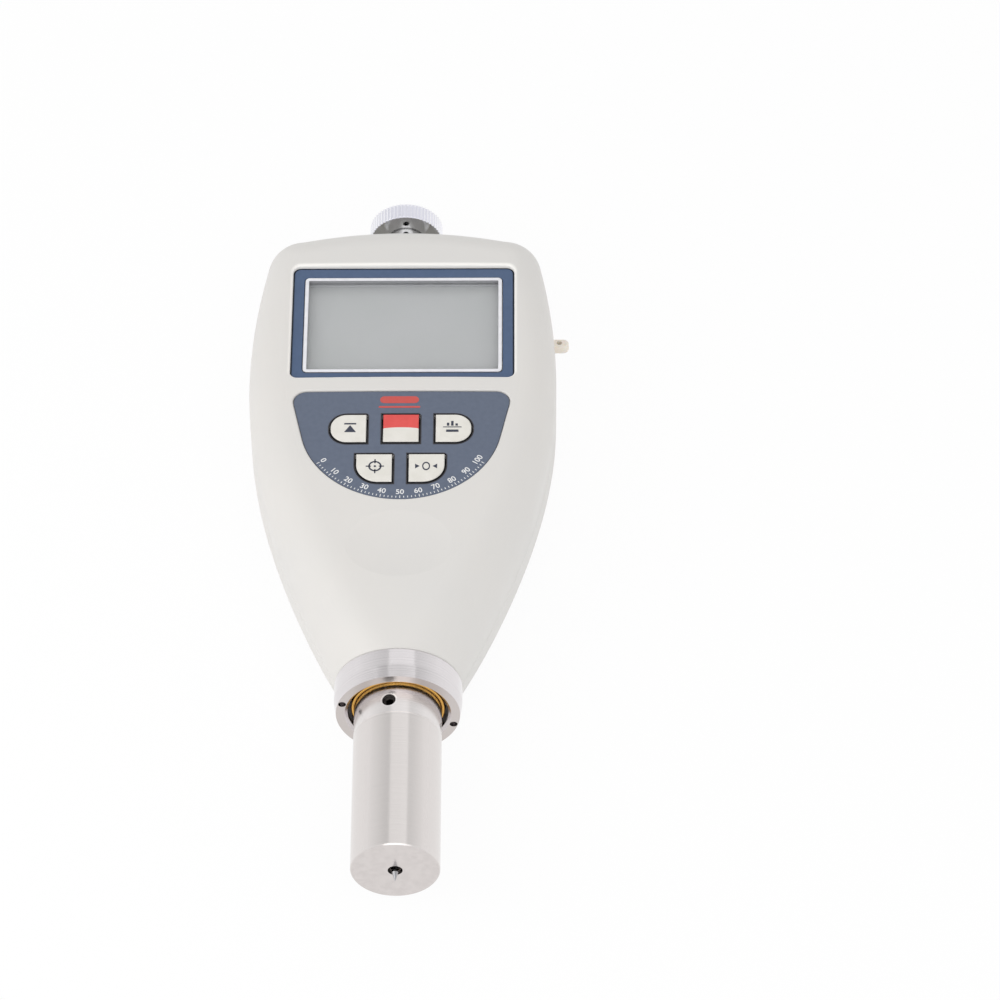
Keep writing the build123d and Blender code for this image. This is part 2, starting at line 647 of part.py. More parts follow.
# Back shell
with BuildPart() as back_shell:
    add(outer_form)
    split(bisect_by=Plane.XY.offset(PARTING_Z), keep=Keep.BOTTOM)
    chamfer(back_shell.faces().sort_by(Axis.Z)[-1].outer_wire().edges(), PARTING_GROOVE)
    add(cavity, mode=Mode.SUBTRACT)
    # Battery well, screw posts, cradle of the sensor coil and the lower half of the bush block
    with BuildSketch(Plane.XY.offset(WALL / 2)):
        with Locations((0, WELL_Y)):
            Rectangle(WELL_WIDTH + 2 * WELL_WALL, WELL_LENGTH + 2 * WELL_WALL)
    extrude(amount=WELL_TOP_Z - WALL / 2)
    with BuildSketch(Plane.XY):
        with Locations(*CASE_POSTS):
            Circle(CASE_POST_DIAMETER / 2)
    extrude(amount=PARTING_Z)
    add(bush_block.part)
    with BuildSketch(Plane.XY.offset(WALL / 2)):
        with Locations((0, NOSE_Y + (COIL_LOW + COIL_TOP) / 2)):
            Rectangle(COIL_DIAMETER, CRADLE_WIDTH)
    extrude(amount=AXIS_Z - WALL / 2)
    with BuildSketch(PROBE_PLANE):
        turned(COIL_LOW, COIL_TOP, 0, COIL_DIAMETER / 2 + SEAT_GAP)
    revolve(axis=PROBE_AXIS, mode=Mode.SUBTRACT)
    split(bisect_by=Plane.XY.offset(PARTING_Z), keep=Keep.BOTTOM)
    add(outer_form, mode=Mode.INTERSECT)
    add(shared_bores.part, mode=Mode.SUBTRACT)
    with BuildSketch(Plane.XY):
        with Locations((0, WELL_Y)):
            Rectangle(WELL_WIDTH, WELL_LENGTH)
    extrude(amount=WELL_CEILING_Z, mode=Mode.SUBTRACT)
    with BuildSketch(Plane.XY):
        with Locations((0, WELL_Y)):
            door_outline(DOOR_CLEARANCE)
    extrude(amount=DOOR_THICKNESS, mode=Mode.SUBTRACT)
    with BuildSketch(Plane.XY):
        with Locations(*CASE_POSTS):
            Circle(CASE_SCREW_HEAD / 2 + TRIM_CLEARANCE)
    extrude(amount=CASE_POST_SEAT, mode=Mode.SUBTRACT)
    with BuildSketch(Plane.XY):
        with Locations(*CASE_POSTS):
            Circle(CASE_SCREW_DIAMETER / 2 + TRIM_CLEARANCE)
    extrude(amount=BODY_THICKNESS, mode=Mode.SUBTRACT)
pieces["back_shell"] = back_shell.part

# Display: bezel, trim, window and liquid crystal panel with its holder
with BuildPart() as display_bezel:
    with BuildSketch(Plane.XY.offset(BEZEL_SEAT_Z)):
        with Locations((0, BEZEL_Y)):
            bezel_outline(0)
        with Locations((0, DISPLAY_Y)):
            trim_outline(TRIM_CLEARANCE, Mode.SUBTRACT)
    extrude(amount=BEZEL_THICKNESS)
    chamfer(display_bezel.faces().sort_by(Axis.Z)[-1].edges(), BEZEL_EDGE)
pieces["display_bezel"] = display_bezel.part

with BuildPart() as display_trim:
    with BuildSketch(Plane.XY.offset(BEZEL_SEAT_Z)):
        with Locations((0, DISPLAY_Y)):
            trim_outline(0, Mode.ADD)
            trim_outline(-TRIM_LINE, Mode.SUBTRACT)
    extrude(amount=BEZEL_THICKNESS + TRIM_PROUD)
    fillet(display_trim.faces().sort_by(Axis.Z)[-1].edges(), TRIM_EDGE)
pieces["display_trim"] = display_trim.part

with BuildPart() as display_window:
    with BuildSketch(Plane.XY.offset(WINDOW_SEAT_Z)):
        with Locations((0, DISPLAY_Y)):
            Rectangle(WINDOW_WIDTH, WINDOW_HEIGHT)
    extrude(amount=WINDOW_THICKNESS)
pieces["display_window"] = display_window.part

with BuildPart() as lcd_panel:
    with BuildSketch(Plane.XY.offset(LCD_LOW_Z)):
        with Locations((0, DISPLAY_Y)):
            Rectangle(LCD_WIDTH, LCD_HEIGHT)
    extrude(amount=LCD_THICKNESS)
pieces["lcd_panel"] = lcd_panel.part

with BuildPart() as lcd_holder:
    with BuildSketch(Plane.XY.offset(BOARD_TOP_Z)):
        with Locations((0, DISPLAY_Y)):
            Rectangle(LCD_WIDTH + 2 * HOLDER_WALL, LCD_HEIGHT + 2 * HOLDER_WALL)
            Rectangle(LCD_WIDTH + 2 * SEAT_GAP, LCD_HEIGHT + 2 * SEAT_GAP, mode=Mode.SUBTRACT)
    extrude(amount=LCD_TOP_Z - BOARD_TOP_Z)
pieces["lcd_holder"] = lcd_holder.part

with BuildPart() as lcd_connectors:
    strip_offset = LCD_HEIGHT / 2 - CONNECTOR_INSET - CONNECTOR_WIDTH / 2
    with BuildSketch(Plane.XY.offset(BOARD_TOP_Z)):
        with Locations((0, DISPLAY_Y - strip_offset), (0, DISPLAY_Y + strip_offset)):
            Rectangle(LCD_WIDTH - 2 * CONNECTOR_INSET, CONNECTOR_WIDTH)
    extrude(amount=LCD_LOW_Z - BOARD_TOP_Z)
pieces["lcd_connectors"] = lcd_connectors.part

# Keypad: overlay and five keys
with BuildPart() as keypad_overlay:
    add(keypad_form(0, OVERLAY_DEPTH))
    for key in KEYS.values():
        extrude(key.outline(KEY_GAP, PARTING_Z), amount=BODY_THICKNESS, mode=Mode.SUBTRACT)
pieces["keypad_overlay"] = keypad_overlay.part

for name, key in KEYS.items():
    with BuildPart() as key_cap:
        flange_low = key.flange_z() - KEY_FLANGE_THICKNESS
        extrude(key.outline(0, flange_low), amount=key.top_z() - flange_low)
        fillet(key_cap.faces().sort_by(Axis.Z)[-1].edges(), KEY_EDGE)
        extrude(key.outline(KEY_GAP + KEY_FLANGE, flange_low), amount=KEY_FLANGE_THICKNESS)
        with Locations((key.x, key.y, KEY_STEM_LOW_Z)):
            Cylinder(KEY_STEM_DIAMETER / 2, flange_low - KEY_STEM_LOW_Z, align=FROM_BELOW)
    pieces[name] = key_cap.part

# Circuit board with its chips, switches and screws
with BuildPart() as main_board:
    with BuildSketch(Plane.XY.offset(BOARD_LOW_Z)):
        with Locations((0, (BOARD_LOW_Y + BOARD_TAB_Y) / 2)):
            Rectangle(2 * BOARD_HALF, BOARD_TAB_Y - BOARD_LOW_Y)
        tab_middle = (BOARD_TAB_INNER + BOARD_TAB_OUTER) / 2
        with Locations(*[(side * tab_middle, BOARD_TAB_Y) for side in (-1, 1)]):
            Rectangle(BOARD_TAB_OUTER - BOARD_TAB_INNER, 2 * BOARD_TAB_LENGTH)
        # Ear over the data jack, and the slot that straddles the sensor coil
        with Locations((JACK_OUTER_X / 2, JACK_Y)):
            Rectangle(JACK_OUTER_X, JACK_WIDTH)
        slot_length = 2 * (NOSE_Y + COIL_TOP + SEAT_GAP - BOARD_LOW_Y)
        with Locations((0, BOARD_LOW_Y)):
            Rectangle(COIL_DIAMETER + 2 * BOARD_SIDE_GAP, slot_length, mode=Mode.SUBTRACT)
        with Locations(*BOARD_SCREWS):
            Circle(BOARD_SCREW_DIAMETER / 2 + TRIM_CLEARANCE, mode=Mode.SUBTRACT)
    extrude(amount=BOARD_THICKNESS)
pieces["main_board"] = main_board.part

with BuildPart() as board_chips:
    with BuildSketch(Plane.XY.offset(BOARD_TOP_Z)):
        with Locations((-CHIP_SPREAD, DISPLAY_Y)):
            Rectangle(PROCESSOR_SIZE, PROCESSOR_SIZE)
        with Locations((CHIP_SPREAD, DISPLAY_Y + CHIP_LENGTH / 2), (CHIP_SPREAD, DISPLAY_Y - CHIP_LENGTH / 2)):
            Rectangle(CHIP_LENGTH, CHIP_WIDTH)
        with Locations((0, DISPLAY_Y)):
            SlotOverall(CRYSTAL_LENGTH, CRYSTAL_WIDTH, rotation=90)
    extrude(amount=CHIP_HEIGHT)
pieces["board_chips"] = board_chips.part

with BuildPart() as key_switches:
    key_places = [(key.x, key.y) for key in KEYS.values()]
    with BuildSketch(Plane.XY.offset(BOARD_TOP_Z)):
        with Locations(*key_places):
            Rectangle(SWITCH_SIZE, SWITCH_SIZE)
    extrude(amount=SWITCH_HEIGHT)
    with BuildSketch(Plane.XY.offset(BOARD_TOP_Z + SWITCH_HEIGHT)):
        with Locations(*key_places):
            Circle(SWITCH_NUB_DIAMETER / 2)
    extrude(amount=SWITCH_NUB_HEIGHT)
pieces["key_switches"] = key_switches.part

with BuildPart() as board_screws:
    with BuildSketch(Plane.XY.offset(BOARD_LOW_Z)):
        with Locations(*BOARD_SCREWS):
            Circle(BOARD_SCREW_HEAD / 2)
    extrude(amount=-BOARD_SCREW_HEAD_HEIGHT)
    with BuildSketch(Plane.XY.offset(BOARD_LOW_Z)):
        with Locations(*BOARD_SCREWS):
            Circle(BOARD_SCREW_DIAMETER / 2)
    extrude(amount=BOARD_SCREW_LENGTH)
    cross_slots(BOARD_SCREWS, BOARD_LOW_Z - BOARD_SCREW_HEAD_HEIGHT, BOARD_SCREW_HEAD)
pieces["board_screws"] = board_screws.part

# Case screws, driven from the back
with BuildPart() as case_screws:
    with BuildSketch(Plane.XY.offset(CASE_POST_SEAT - CASE_SCREW_HEAD_HEIGHT)):
        with Locations(*CASE_POSTS):
            Circle(CASE_SCREW_HEAD / 2)
    extrude(amount=CASE_SCREW_HEAD_HEIGHT)
    with BuildSketch(Plane.XY.offset(CASE_POST_SEAT)):
        with Locations(*CASE_POSTS):
            Circle(CASE_SCREW_DIAMETER / 2)
    extrude(amount=PARTING_Z + CASE_SCREW_BITE - CASE_POST_SEAT)
    cross_slots(CASE_POSTS, CASE_POST_SEAT - CASE_SCREW_HEAD_HEIGHT, CASE_SCREW_HEAD)
pieces["case_screws"] = case_screws.part

# Battery door, cells and contacts
with BuildPart() as battery_door:
    with BuildSketch(Plane.XY):
        with Locations((0, WELL_Y)):
            door_outline(0)
    extrude(amount=DOOR_THICKNESS)
    add(outer_form, mode=Mode.INTERSECT)
    grip_y = WELL_Y + DOOR_LENGTH / 2 - DOOR_GRIP_PITCH * (DOOR_GRIP_COUNT + 1) / 2
    with BuildSketch(Plane.XY):
        with Locations((0, grip_y)):
            with GridLocations(0, DOOR_GRIP_PITCH, 1, DOOR_GRIP_COUNT):
                SlotOverall(DOOR_GRIP_WIDTH, DOOR_GRIP_GROOVE)
    extrude(amount=DOOR_GRIP_DEPTH, mode=Mode.SUBTRACT)
pieces["battery_door"] = battery_door.part

CELL_PLACES = [((i - (CELL_COUNT - 1) / 2) * CELL_PITCH, CELL_Z) for i in range(CELL_COUNT)]
CELL_PLANE = Plane(origin=(0, WELL_Y - CELL_LENGTH / 2, 0), x_dir=(1, 0, 0), z_dir=(0, -1, 0))
with BuildPart() as battery_cells:
    with BuildSketch(CELL_PLANE):
        with Locations(*CELL_PLACES):
            Circle(CELL_DIAMETER / 2)
    extrude(amount=-(CELL_LENGTH - CELL_TIP_LENGTH))
    with BuildSketch(CELL_PLANE):
        with Locations(*CELL_PLACES):
            Circle(CELL_TIP_DIAMETER / 2)
    extrude(amount=-CELL_LENGTH)
pieces["battery_cells"] = battery_cells.part

with BuildPart() as battery_contacts:
    for side in (-1, 1):
        wall_y = WELL_Y + side * WELL_LENGTH / 2
        plane = Plane(origin=(0, wall_y, 0), x_dir=(side, 0, 0), z_dir=(0, -side, 0))
        with BuildSketch(plane):
            with Locations(*[(side * x, z) for x, z in CELL_PLACES]):
                Rectangle(CONTACT_WIDTH, CONTACT_WIDTH)
        extrude(amount=CONTACT_PLATE)
        with BuildSketch(plane):
            with Locations(*[(side * x, z) for x, z in CELL_PLACES]):
                Circle(CONTACT_PAD_DIAMETER / 2)
        extrude(amount=CONTACT_DEPTH)
pieces["battery_contacts"] = battery_contacts.part

# Data jack and dust plug, on an axis along X
with BuildPart() as data_jack:
    with BuildSketch(Plane.YZ.offset(JACK_INNER_X)):
        jack_height = BOARD_LOW_Z - AXIS_Z + JACK_BELOW_AXIS
        with Locations((JACK_Y, BOARD_LOW_Z - jack_height / 2)):
            Rectangle(JACK_WIDTH, jack_height)
        with Locations((JACK_Y, AXIS_Z)):
            Circle(JACK_BORE / 2, mode=Mode.SUBTRACT)
    extrude(amount=JACK_OUTER_X - JACK_INNER_X)
pieces["data_jack"] = data_jack.part

with BuildPart() as dust_plug:
    with BuildSketch(Plane.YZ.offset(JACK_INNER_X + SEAT_GAP)):
        with Locations((JACK_Y, AXIS_Z)):
            Circle(JACK_BORE / 2 - RUNNING_CLEARANCE)
    extrude(amount=JACK_OUTER_X - JACK_INNER_X)
    with BuildSketch(Plane.YZ.offset(JACK_OUTER_X + SEAT_GAP)):
        with Locations((JACK_Y, AXIS_Z)):
            Circle(PLUG_NECK_DIAMETER / 2)
    extrude(amount=TAB_LOW_X - JACK_OUTER_X)
    with BuildSketch(Plane.XY.offset(AXIS_Z - TAB_THICKNESS / 2)):
        with Locations((TAB_LOW_X, JACK_Y)):
            Rectangle(TAB_LENGTH - TAB_WIDTH / 2, TAB_WIDTH, align=(Align.MIN, Align.CENTER))
        with Locations((TAB_LOW_X + TAB_LENGTH - TAB_WIDTH / 2, JACK_Y)):
            Circle(TAB_WIDTH / 2)
    extrude(amount=TAB_THICKNESS)
    tab_edges = dust_plug.faces().filter_by(Axis.Z).edges()
    fillet(tab_edges.filter_by(lambda edge: edge.center().X > TAB_LOW_X + SEAT_GAP), TAB_EDGE)
    with Locations((TAB_LOW_X + EYE_FROM_CASE, JACK_Y, AXIS_Z + TAB_THICKNESS / 2)):
        Hole(EYE_DIAMETER / 2, depth=TAB_THICKNESS)
pieces["dust_plug"] = dust_plug.part

# Knob, washer and bush at the top
WASHER_LOW = BUSH_PROUD
HUB_LOW = WASHER_LOW + WASHER_THICKNESS
RIM_LOW = HUB_LOW + HUB_LENGTH
RIM_TOP = RIM_LOW + KNOB_RIM
with BuildPart() as stand_knob:
    with BuildSketch(Plane(origin=(0, TOP_Y + RIM_LOW, AXIS_Z), x_dir=(1, 0, 0), z_dir=(0, 1, 0))):
        Circle(KNOB_DIAMETER / 2)
        with PolarLocations(KNOB_DIAMETER / 2, KNURL_COUNT):
            Circle(KNURL_DEPTH, mode=Mode.SUBTRACT)
    extrude(amount=KNOB_RIM)
    with BuildSketch(KNOB_PLANE):
        with BuildLine():
            Polyline(
                (RIM_LOW, 0),
                (RIM_LOW, KNOB_DIAMETER / 2 - KNOB_CHAMFER),
                (RIM_LOW + KNOB_CHAMFER, KNOB_DIAMETER / 2),
                (RIM_TOP - KNOB_CHAMFER, KNOB_DIAMETER / 2),
                (RIM_TOP, KNOB_DIAMETER / 2 - KNOB_CHAMFER),
                (RIM_TOP, 0),
                close=True,
            )
        make_face()
    revolve(axis=PROBE_AXIS, mode=Mode.INTERSECT)
    with BuildSketch(KNOB_PLANE):
        turned(HUB_LOW - STUD_LENGTH, RIM_LOW, 0, STUD_DIAMETER / 2)
        turned(HUB_LOW, RIM_LOW, 0, HUB_DIAMETER / 2 - HUB_GROOVE_DEPTH)
        turned(HUB_LOW, RIM_LOW - HUB_GROOVE_WIDTH, 0, HUB_DIAMETER / 2)
    revolve(axis=PROBE_AXIS)
    with BuildSketch(Plane.XY.offset(AXIS_Z)):
        with Locations((0, TOP_Y + RIM_LOW - TOMMY_FROM_RIM)):
            Circle(TOMMY_HOLE / 2)
    extrude(amount=HUB_DIAMETER, both=True, mode=Mode.SUBTRACT)
pieces["stand_knob"] = stand_knob.part

with BuildPart() as knob_washer:
    with BuildSketch(KNOB_PLANE):
        turned(WASHER_LOW, HUB_LOW, STUD_DIAMETER / 2 + RUNNING_CLEARANCE, WASHER_DIAMETER / 2)
    revolve(axis=PROBE_AXIS)
pieces["knob_washer"] = knob_washer.part

with BuildPart() as stand_bush:
    with BuildSketch(KNOB_PLANE):
        bush_bore = STUD_DIAMETER / 2 + RUNNING_CLEARANCE
        turned(BUSH_LOW, BUSH_PROUD, bush_bore, BUSH_DIAMETER / 2)
        turned(BUSH_LOW, BUSH_LOW + BUSH_FLANGE_LENGTH, bush_bore, BUSH_DIAMETER / 2 + BUSH_FLANGE)
    revolve(axis=PROBE_AXIS)
pieces["stand_bush"] = stand_bush.part

# Collar with two pin holes, and the brass ring in its bore
with BuildPart() as clamp_collar:
    with BuildSketch(PROBE_PLANE):
        with BuildLine():
            Polyline(
                (0, COLLAR_BORE / 2),
                (COLLAR_FACE + COLLAR_BORE_EDGE, COLLAR_BORE / 2),
                (COLLAR_FACE, COLLAR_BORE / 2 + COLLAR_BORE_EDGE),
                (COLLAR_FACE, COLLAR_FACE_DIAMETER / 2),
                (-COLLAR_BAND, COLLAR_DIAMETER / 2),
                (-COLLAR_EDGE, COLLAR_DIAMETER / 2),
                (0, COLLAR_DIAMETER / 2 - COLLAR_EDGE),
                close=True,
            )
        make_face()
    revolve(axis=PROBE_AXIS)
    with BuildSketch(Plane(origin=(0, NOSE_Y + COLLAR_FACE, AXIS_Z), x_dir=(1, 0, 0), z_dir=(0, -1, 0))):
        pin_radius = (COLLAR_BORE / 2 + COLLAR_BORE_EDGE + COLLAR_FACE_DIAMETER / 2) / 2
        with PolarLocations(pin_radius, 2, start_angle=-PIN_HOLE_TURN):
            Circle(PIN_HOLE_DIAMETER / 2)
    extrude(amount=-PIN_HOLE_DEPTH, mode=Mode.SUBTRACT)
pieces["clamp_collar"] = clamp_collar.part

with BuildPart() as brass_ring:
    with BuildSketch(PROBE_PLANE):
        ring_radius = COLLAR_BORE / 2 - RUNNING_CLEARANCE
        turned(COLLAR_FACE + RING_RECESS, 0, ring_radius - RING_WIDTH, ring_radius)
    revolve(axis=PROBE_AXIS)
    fillet(brass_ring.faces().sort_by(Axis.Y)[0].edges(), RING_EDGE)
pieces["brass_ring"] = brass_ring.part

# Sleeve, its grub screw and the nut that holds it in the nose
GRUB_DIRECTION = (-sin(radians(GRUB_TURN)), 0, cos(radians(GRUB_TURN)))
GRUB_PLANE = Plane(
    origin=(0, NOSE_Y + COLLAR_FACE - GRUB_BELOW_COLLAR, AXIS_Z), x_dir=(0, 1, 0), z_dir=GRUB_DIRECTION
)
with BuildPart() as probe_sleeve:
    with BuildSketch(PROBE_PLANE):
        turned(SEAM, COLLAR_FACE, SLEEVE_BORE / 2, FOOT_DIAMETER / 2)
        turned(COLLAR_FACE, 0, SLEEVE_BORE / 2, FOOT_DIAMETER / 2 - SLEEVE_RELIEF)
        turned(SPIGOT_END, SEAM, SLEEVE_BORE / 2, FOOT_BORE / 2 - RUNNING_CLEARANCE)
        turned(0, SLEEVE_NECK_LENGTH, SLEEVE_BORE / 2, SLEEVE_NECK_DIAMETER / 2)
    revolve(axis=PROBE_AXIS)
    with BuildSketch(GRUB_PLANE):
        Circle(GRUB_DIAMETER / 2)
    extrude(amount=FOOT_DIAMETER, mode=Mode.SUBTRACT)
pieces["probe_sleeve"] = probe_sleeve.part

with BuildPart() as sleeve_screw:
    with BuildSketch(GRUB_PLANE.offset(SLEEVE_BORE / 2)):
        Circle(GRUB_DIAMETER / 2 - RUNNING_CLEARANCE)
    extrude(amount=(FOOT_DIAMETER - SLEEVE_BORE) / 2 - GRUB_RECESS)
    with BuildSketch(GRUB_PLANE.offset(FOOT_DIAMETER / 2 - GRUB_RECESS)):
        RegularPolygon(GRUB_SOCKET / 2, 6, major_radius=False)
    extrude(amount=-GRUB_SOCKET_DEPTH, mode=Mode.SUBTRACT)
pieces["sleeve_screw"] = sleeve_screw.part

with BuildPart() as retaining_nut:
    with BuildSketch(PROBE_PLANE):
        turned(
            NOSE_WALL,
            NOSE_WALL + NUT_THICKNESS,
            SLEEVE_NECK_DIAMETER / 2 + RUNNING_CLEARANCE,
            NUT_DIAMETER / 2,
        )
    revolve(axis=PROBE_AXIS)
pieces["retaining_nut"] = retaining_nut.part

# Presser foot
with BuildPart() as presser_foot:
    with BuildSketch(PROBE_PLANE):
        with BuildLine():
            Polyline(
                (FOOT_FACE, FOOT_HOLE / 2),
                (FOOT_FACE, FOOT_DIAMETER / 2 - FOOT_EDGE),
                (FOOT_FACE + FOOT_EDGE, FOOT_DIAMETER / 2),
                (SEAM - SEAM_EDGE, FOOT_DIAMETER / 2),
                (SEAM, FOOT_DIAMETER / 2 - SEAM_EDGE),
                (SEAM, FOOT_BORE / 2),
                (FOOT_INSIDE, FOOT_BORE / 2),
                (FOOT_INSIDE, FOOT_HOLE / 2),
                close=True,
            )
        make_face()
    revolve(axis=PROBE_AXIS)
pieces["presser_foot"] = presser_foot.part

# Indenter needle and the plunger that carries it
INDENTER_RADIUS = INDENTER_DIAMETER / 2
CONE_LENGTH = (INDENTER_RADIUS - INDENTER_TIP_RADIUS) / tan(radians(INDENTER_CONE_ANGLE / 2))
with BuildPart() as indenter:
    with BuildSketch(PROBE_PLANE):
        with BuildLine():
            Polyline(
                (INDENTER_TIP, 0),
                (INDENTER_TIP, INDENTER_TIP_RADIUS),
                (INDENTER_TIP + CONE_LENGTH, INDENTER_RADIUS),
                (PLUNGER_LOW + INDENTER_GRIP, INDENTER_RADIUS),
                (PLUNGER_LOW + INDENTER_GRIP, 0),
                close=True,
            )
        make_face()
    revolve(axis=PROBE_AXIS)
pieces["indenter"] = indenter.part

with BuildPart() as plunger:
    with BuildSketch(PROBE_PLANE):
        turned(PLUNGER_LOW, FLANGE_LOW, 0, PLUNGER_BOSS / 2)
        turned(FLANGE_LOW, FLANGE_TOP, 0, PLUNGER_FLANGE / 2)
        turned(FLANGE_TOP, CORE_LOW, 0, PLUNGER_SHAFT / 2)
        grip = INDENTER_RADIUS + RUNNING_CLEARANCE
        with Locations((PLUNGER_LOW, 0)):
            Rectangle(2 * (INDENTER_GRIP + RUNNING_CLEARANCE), 2 * grip, mode=Mode.SUBTRACT)
    revolve(axis=PROBE_AXIS)
pieces["plunger"] = plunger.part

with BuildPart() as measuring_spring:
    with BuildSketch(PROBE_PLANE):
        turned(FLANGE_TOP, ADJUSTER_LOW, SPRING_DIAMETER / 2 - SPRING_WIRE, SPRING_DIAMETER / 2)
    revolve(axis=PROBE_AXIS)
pieces["measuring_spring"] = measuring_spring.part

with BuildPart() as spring_adjuster:
    with BuildSketch(PROBE_PLANE):
        turned(ADJUSTER_LOW, ADJUSTER_TOP, ADJUSTER_HOLE / 2, SLEEVE_BORE / 2 - RUNNING_CLEARANCE)
    revolve(axis=PROBE_AXIS)
pieces["spring_adjuster"] = spring_adjuster.part

with BuildPart() as guide_bush:
    with BuildSketch(PROBE_PLANE):
        turned(
            FOOT_INSIDE,
            GUIDE_TOP,
            PLUNGER_BOSS / 2 + RUNNING_CLEARANCE,
            FOOT_BORE / 2 - RUNNING_CLEARANCE,
        )
    revolve(axis=PROBE_AXIS)
pieces["guide_bush"] = guide_bush.part

with BuildPart() as rear_bush:
    with BuildSketch(PROBE_PLANE):
        turned(
            SLEEVE_NECK_LENGTH - REAR_GUIDE_LENGTH,
            SLEEVE_NECK_LENGTH,
            PLUNGER_SHAFT / 2 + RUNNING_CLEARANCE,
            SLEEVE_BORE / 2 - RUNNING_CLEARANCE,
        )
    revolve(axis=PROBE_AXIS)
pieces["rear_bush"] = rear_bush.part

# Displacement sensor: former, windings and core
with BuildPart() as sensor_former:
    with BuildSketch(PROBE_PLANE):
        turned(COIL_LOW, COIL_TOP, COIL_BORE / 2, COIL_BORE / 2 + COIL_TUBE_WALL)
        turned(COIL_LOW, COIL_LOW + COIL_FLANGE, COIL_BORE / 2, COIL_DIAMETER / 2)
        turned(COIL_TOP - COIL_FLANGE, COIL_TOP, COIL_BORE / 2, COIL_DIAMETER / 2)
        turned(COIL_MIDDLE - COIL_FLANGE / 2, COIL_MIDDLE + COIL_FLANGE / 2, COIL_BORE / 2, COIL_DIAMETER / 2)
    revolve(axis=PROBE_AXIS)
pieces["sensor_former"] = sensor_former.part

with BuildPart() as sensor_windings:
    winding_bore = COIL_BORE / 2 + COIL_TUBE_WALL
    with BuildSketch(PROBE_PLANE):
        turned(COIL_LOW + COIL_FLANGE, COIL_MIDDLE - COIL_FLANGE / 2, winding_bore, WINDING_DIAMETER / 2)
        turned(COIL_MIDDLE + COIL_FLANGE / 2, COIL_TOP - COIL_FLANGE, winding_bore, WINDING_DIAMETER / 2)
    revolve(axis=PROBE_AXIS)
pieces["sensor_windings"] = sensor_windings.part

with BuildPart() as sensor_core:
    with BuildSketch(PROBE_PLANE):
        turned(CORE_LOW, CORE_TOP, 0, CORE_DIAMETER / 2)
    revolve(axis=PROBE_AXIS)
pieces["sensor_core"] = sensor_core.part

for label, piece in pieces.items():
    piece.label = label
    export_step(piece, f"parts/{label}.step")
    print(label, len(piece.solids()), round(piece.volume, 1), piece.is_valid)
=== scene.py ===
import math

import bmesh
import bpy
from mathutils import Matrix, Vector
from mathutils.geometry import convex_hull_2d


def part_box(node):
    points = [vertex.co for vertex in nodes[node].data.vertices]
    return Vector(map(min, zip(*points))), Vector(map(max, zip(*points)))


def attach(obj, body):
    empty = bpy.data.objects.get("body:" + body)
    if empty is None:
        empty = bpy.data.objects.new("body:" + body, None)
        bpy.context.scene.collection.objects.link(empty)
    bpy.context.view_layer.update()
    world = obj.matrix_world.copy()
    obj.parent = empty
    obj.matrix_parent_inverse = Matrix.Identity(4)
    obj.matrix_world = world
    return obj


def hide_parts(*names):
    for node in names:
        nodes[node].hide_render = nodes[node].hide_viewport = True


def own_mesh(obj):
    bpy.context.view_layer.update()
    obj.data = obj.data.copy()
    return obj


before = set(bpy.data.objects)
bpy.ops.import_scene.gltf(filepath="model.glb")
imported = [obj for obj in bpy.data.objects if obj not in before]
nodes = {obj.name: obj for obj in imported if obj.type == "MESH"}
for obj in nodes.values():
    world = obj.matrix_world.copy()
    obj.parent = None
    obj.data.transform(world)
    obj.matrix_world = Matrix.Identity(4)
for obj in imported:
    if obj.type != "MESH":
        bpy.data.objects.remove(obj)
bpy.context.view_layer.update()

# Hand-held digital hardness tester, lying on its back. Lengths below are in millimetres.
MM = 0.001

# Camera, as fitted to the photograph
IMAGE_SIZE = 1000
FOCAL_PIXELS = 5004.8
SENSOR_WIDTH = 36.0
CAMERA_PLACE = (26.57, -683.76, 828.14)
CAMERA_TURN = (39.653, 0.345, 0.078)
CAMERA_REACH = 50000.0

# Places taken from the frame
AXIS_Z = (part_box("presser_foot")[0].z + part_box("presser_foot")[1].z) / 2 / MM
FOOT_FACE_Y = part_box("presser_foot")[0].y / MM
OVERLAY_LOW, OVERLAY_HIGH = (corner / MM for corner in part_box("keypad_overlay"))
WELL_Y = (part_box("battery_cells")[0].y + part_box("battery_cells")[1].y) / 2 / MM

# Middle of the case, at which lamps aim
CASE_MIDDLE = (0, 0, 14)

# Display recess with its painted rim highlight and painted shade, and the well under the window, also
# painted in shade
RIM_HIGHLIGHT_WIDTH = 1.0
RECESS_CORNER = 1.4
RECESS_ROOM = 0.4
RECESS_SHADE_DEPTH = 0.15
WELL_DEPTH = 3.0

# Prints on the crowned keypad film and on the keys, and painted shade round the keys
KEY_NODES = ("key_peak", "key_power", "key_mean", "key_calibrate", "key_zero")
KEY_RIM_DEPTH = 1.0
KEY_LINE_START = 0.35
KEY_LINE_WIDTH = 0.2
CROWN_RADIUS = 1200.0
PRINT_THICKNESS = 0.03
PRINT_SINK = 0.02
ARC_RADIUS = 21.2
ARC_CENTRE_Y = OVERLAY_LOW.y + ARC_RADIUS
SCALE_SPAN = 57.0
SCALE_TOP = 100
NUMBER_STEP = 10
NUMBER_RADIUS = 19.25
NUMBER_HEIGHT = 1.25
NUMBER_BOLDNESS = 0.02
FONT_DIGIT_SHARE = 0.7
TICK_STEP = 2
TICK_RADIUS = 20.55
TICK_LENGTH = 0.45
TICK_WIDTH = 0.16
LONG_TICK_LENGTH = 0.7
ACCENT_X = -0.4
ACCENT_BELOW_EDGE = 2.3
ACCENT_WIDTH = 8.2
ACCENT_HEIGHT = 1.9
ACCENT_LINE_GAP = 2.0
ACCENT_LINE_WIDTH = 8.8
ACCENT_LINE_HEIGHT = 0.5

# Seal ring round the sleeve, and coil of the measuring spring
SEAL_INNER_RADIUS = 8.88
SEAL_WIDTH = 0.72
SEAL_RECESS = 1.2
SEAL_LENGTH = 2.0
SPRING_WIRE = 1.0
SPRING_TURNS = 11
SPRING_END_GAP = 0.02

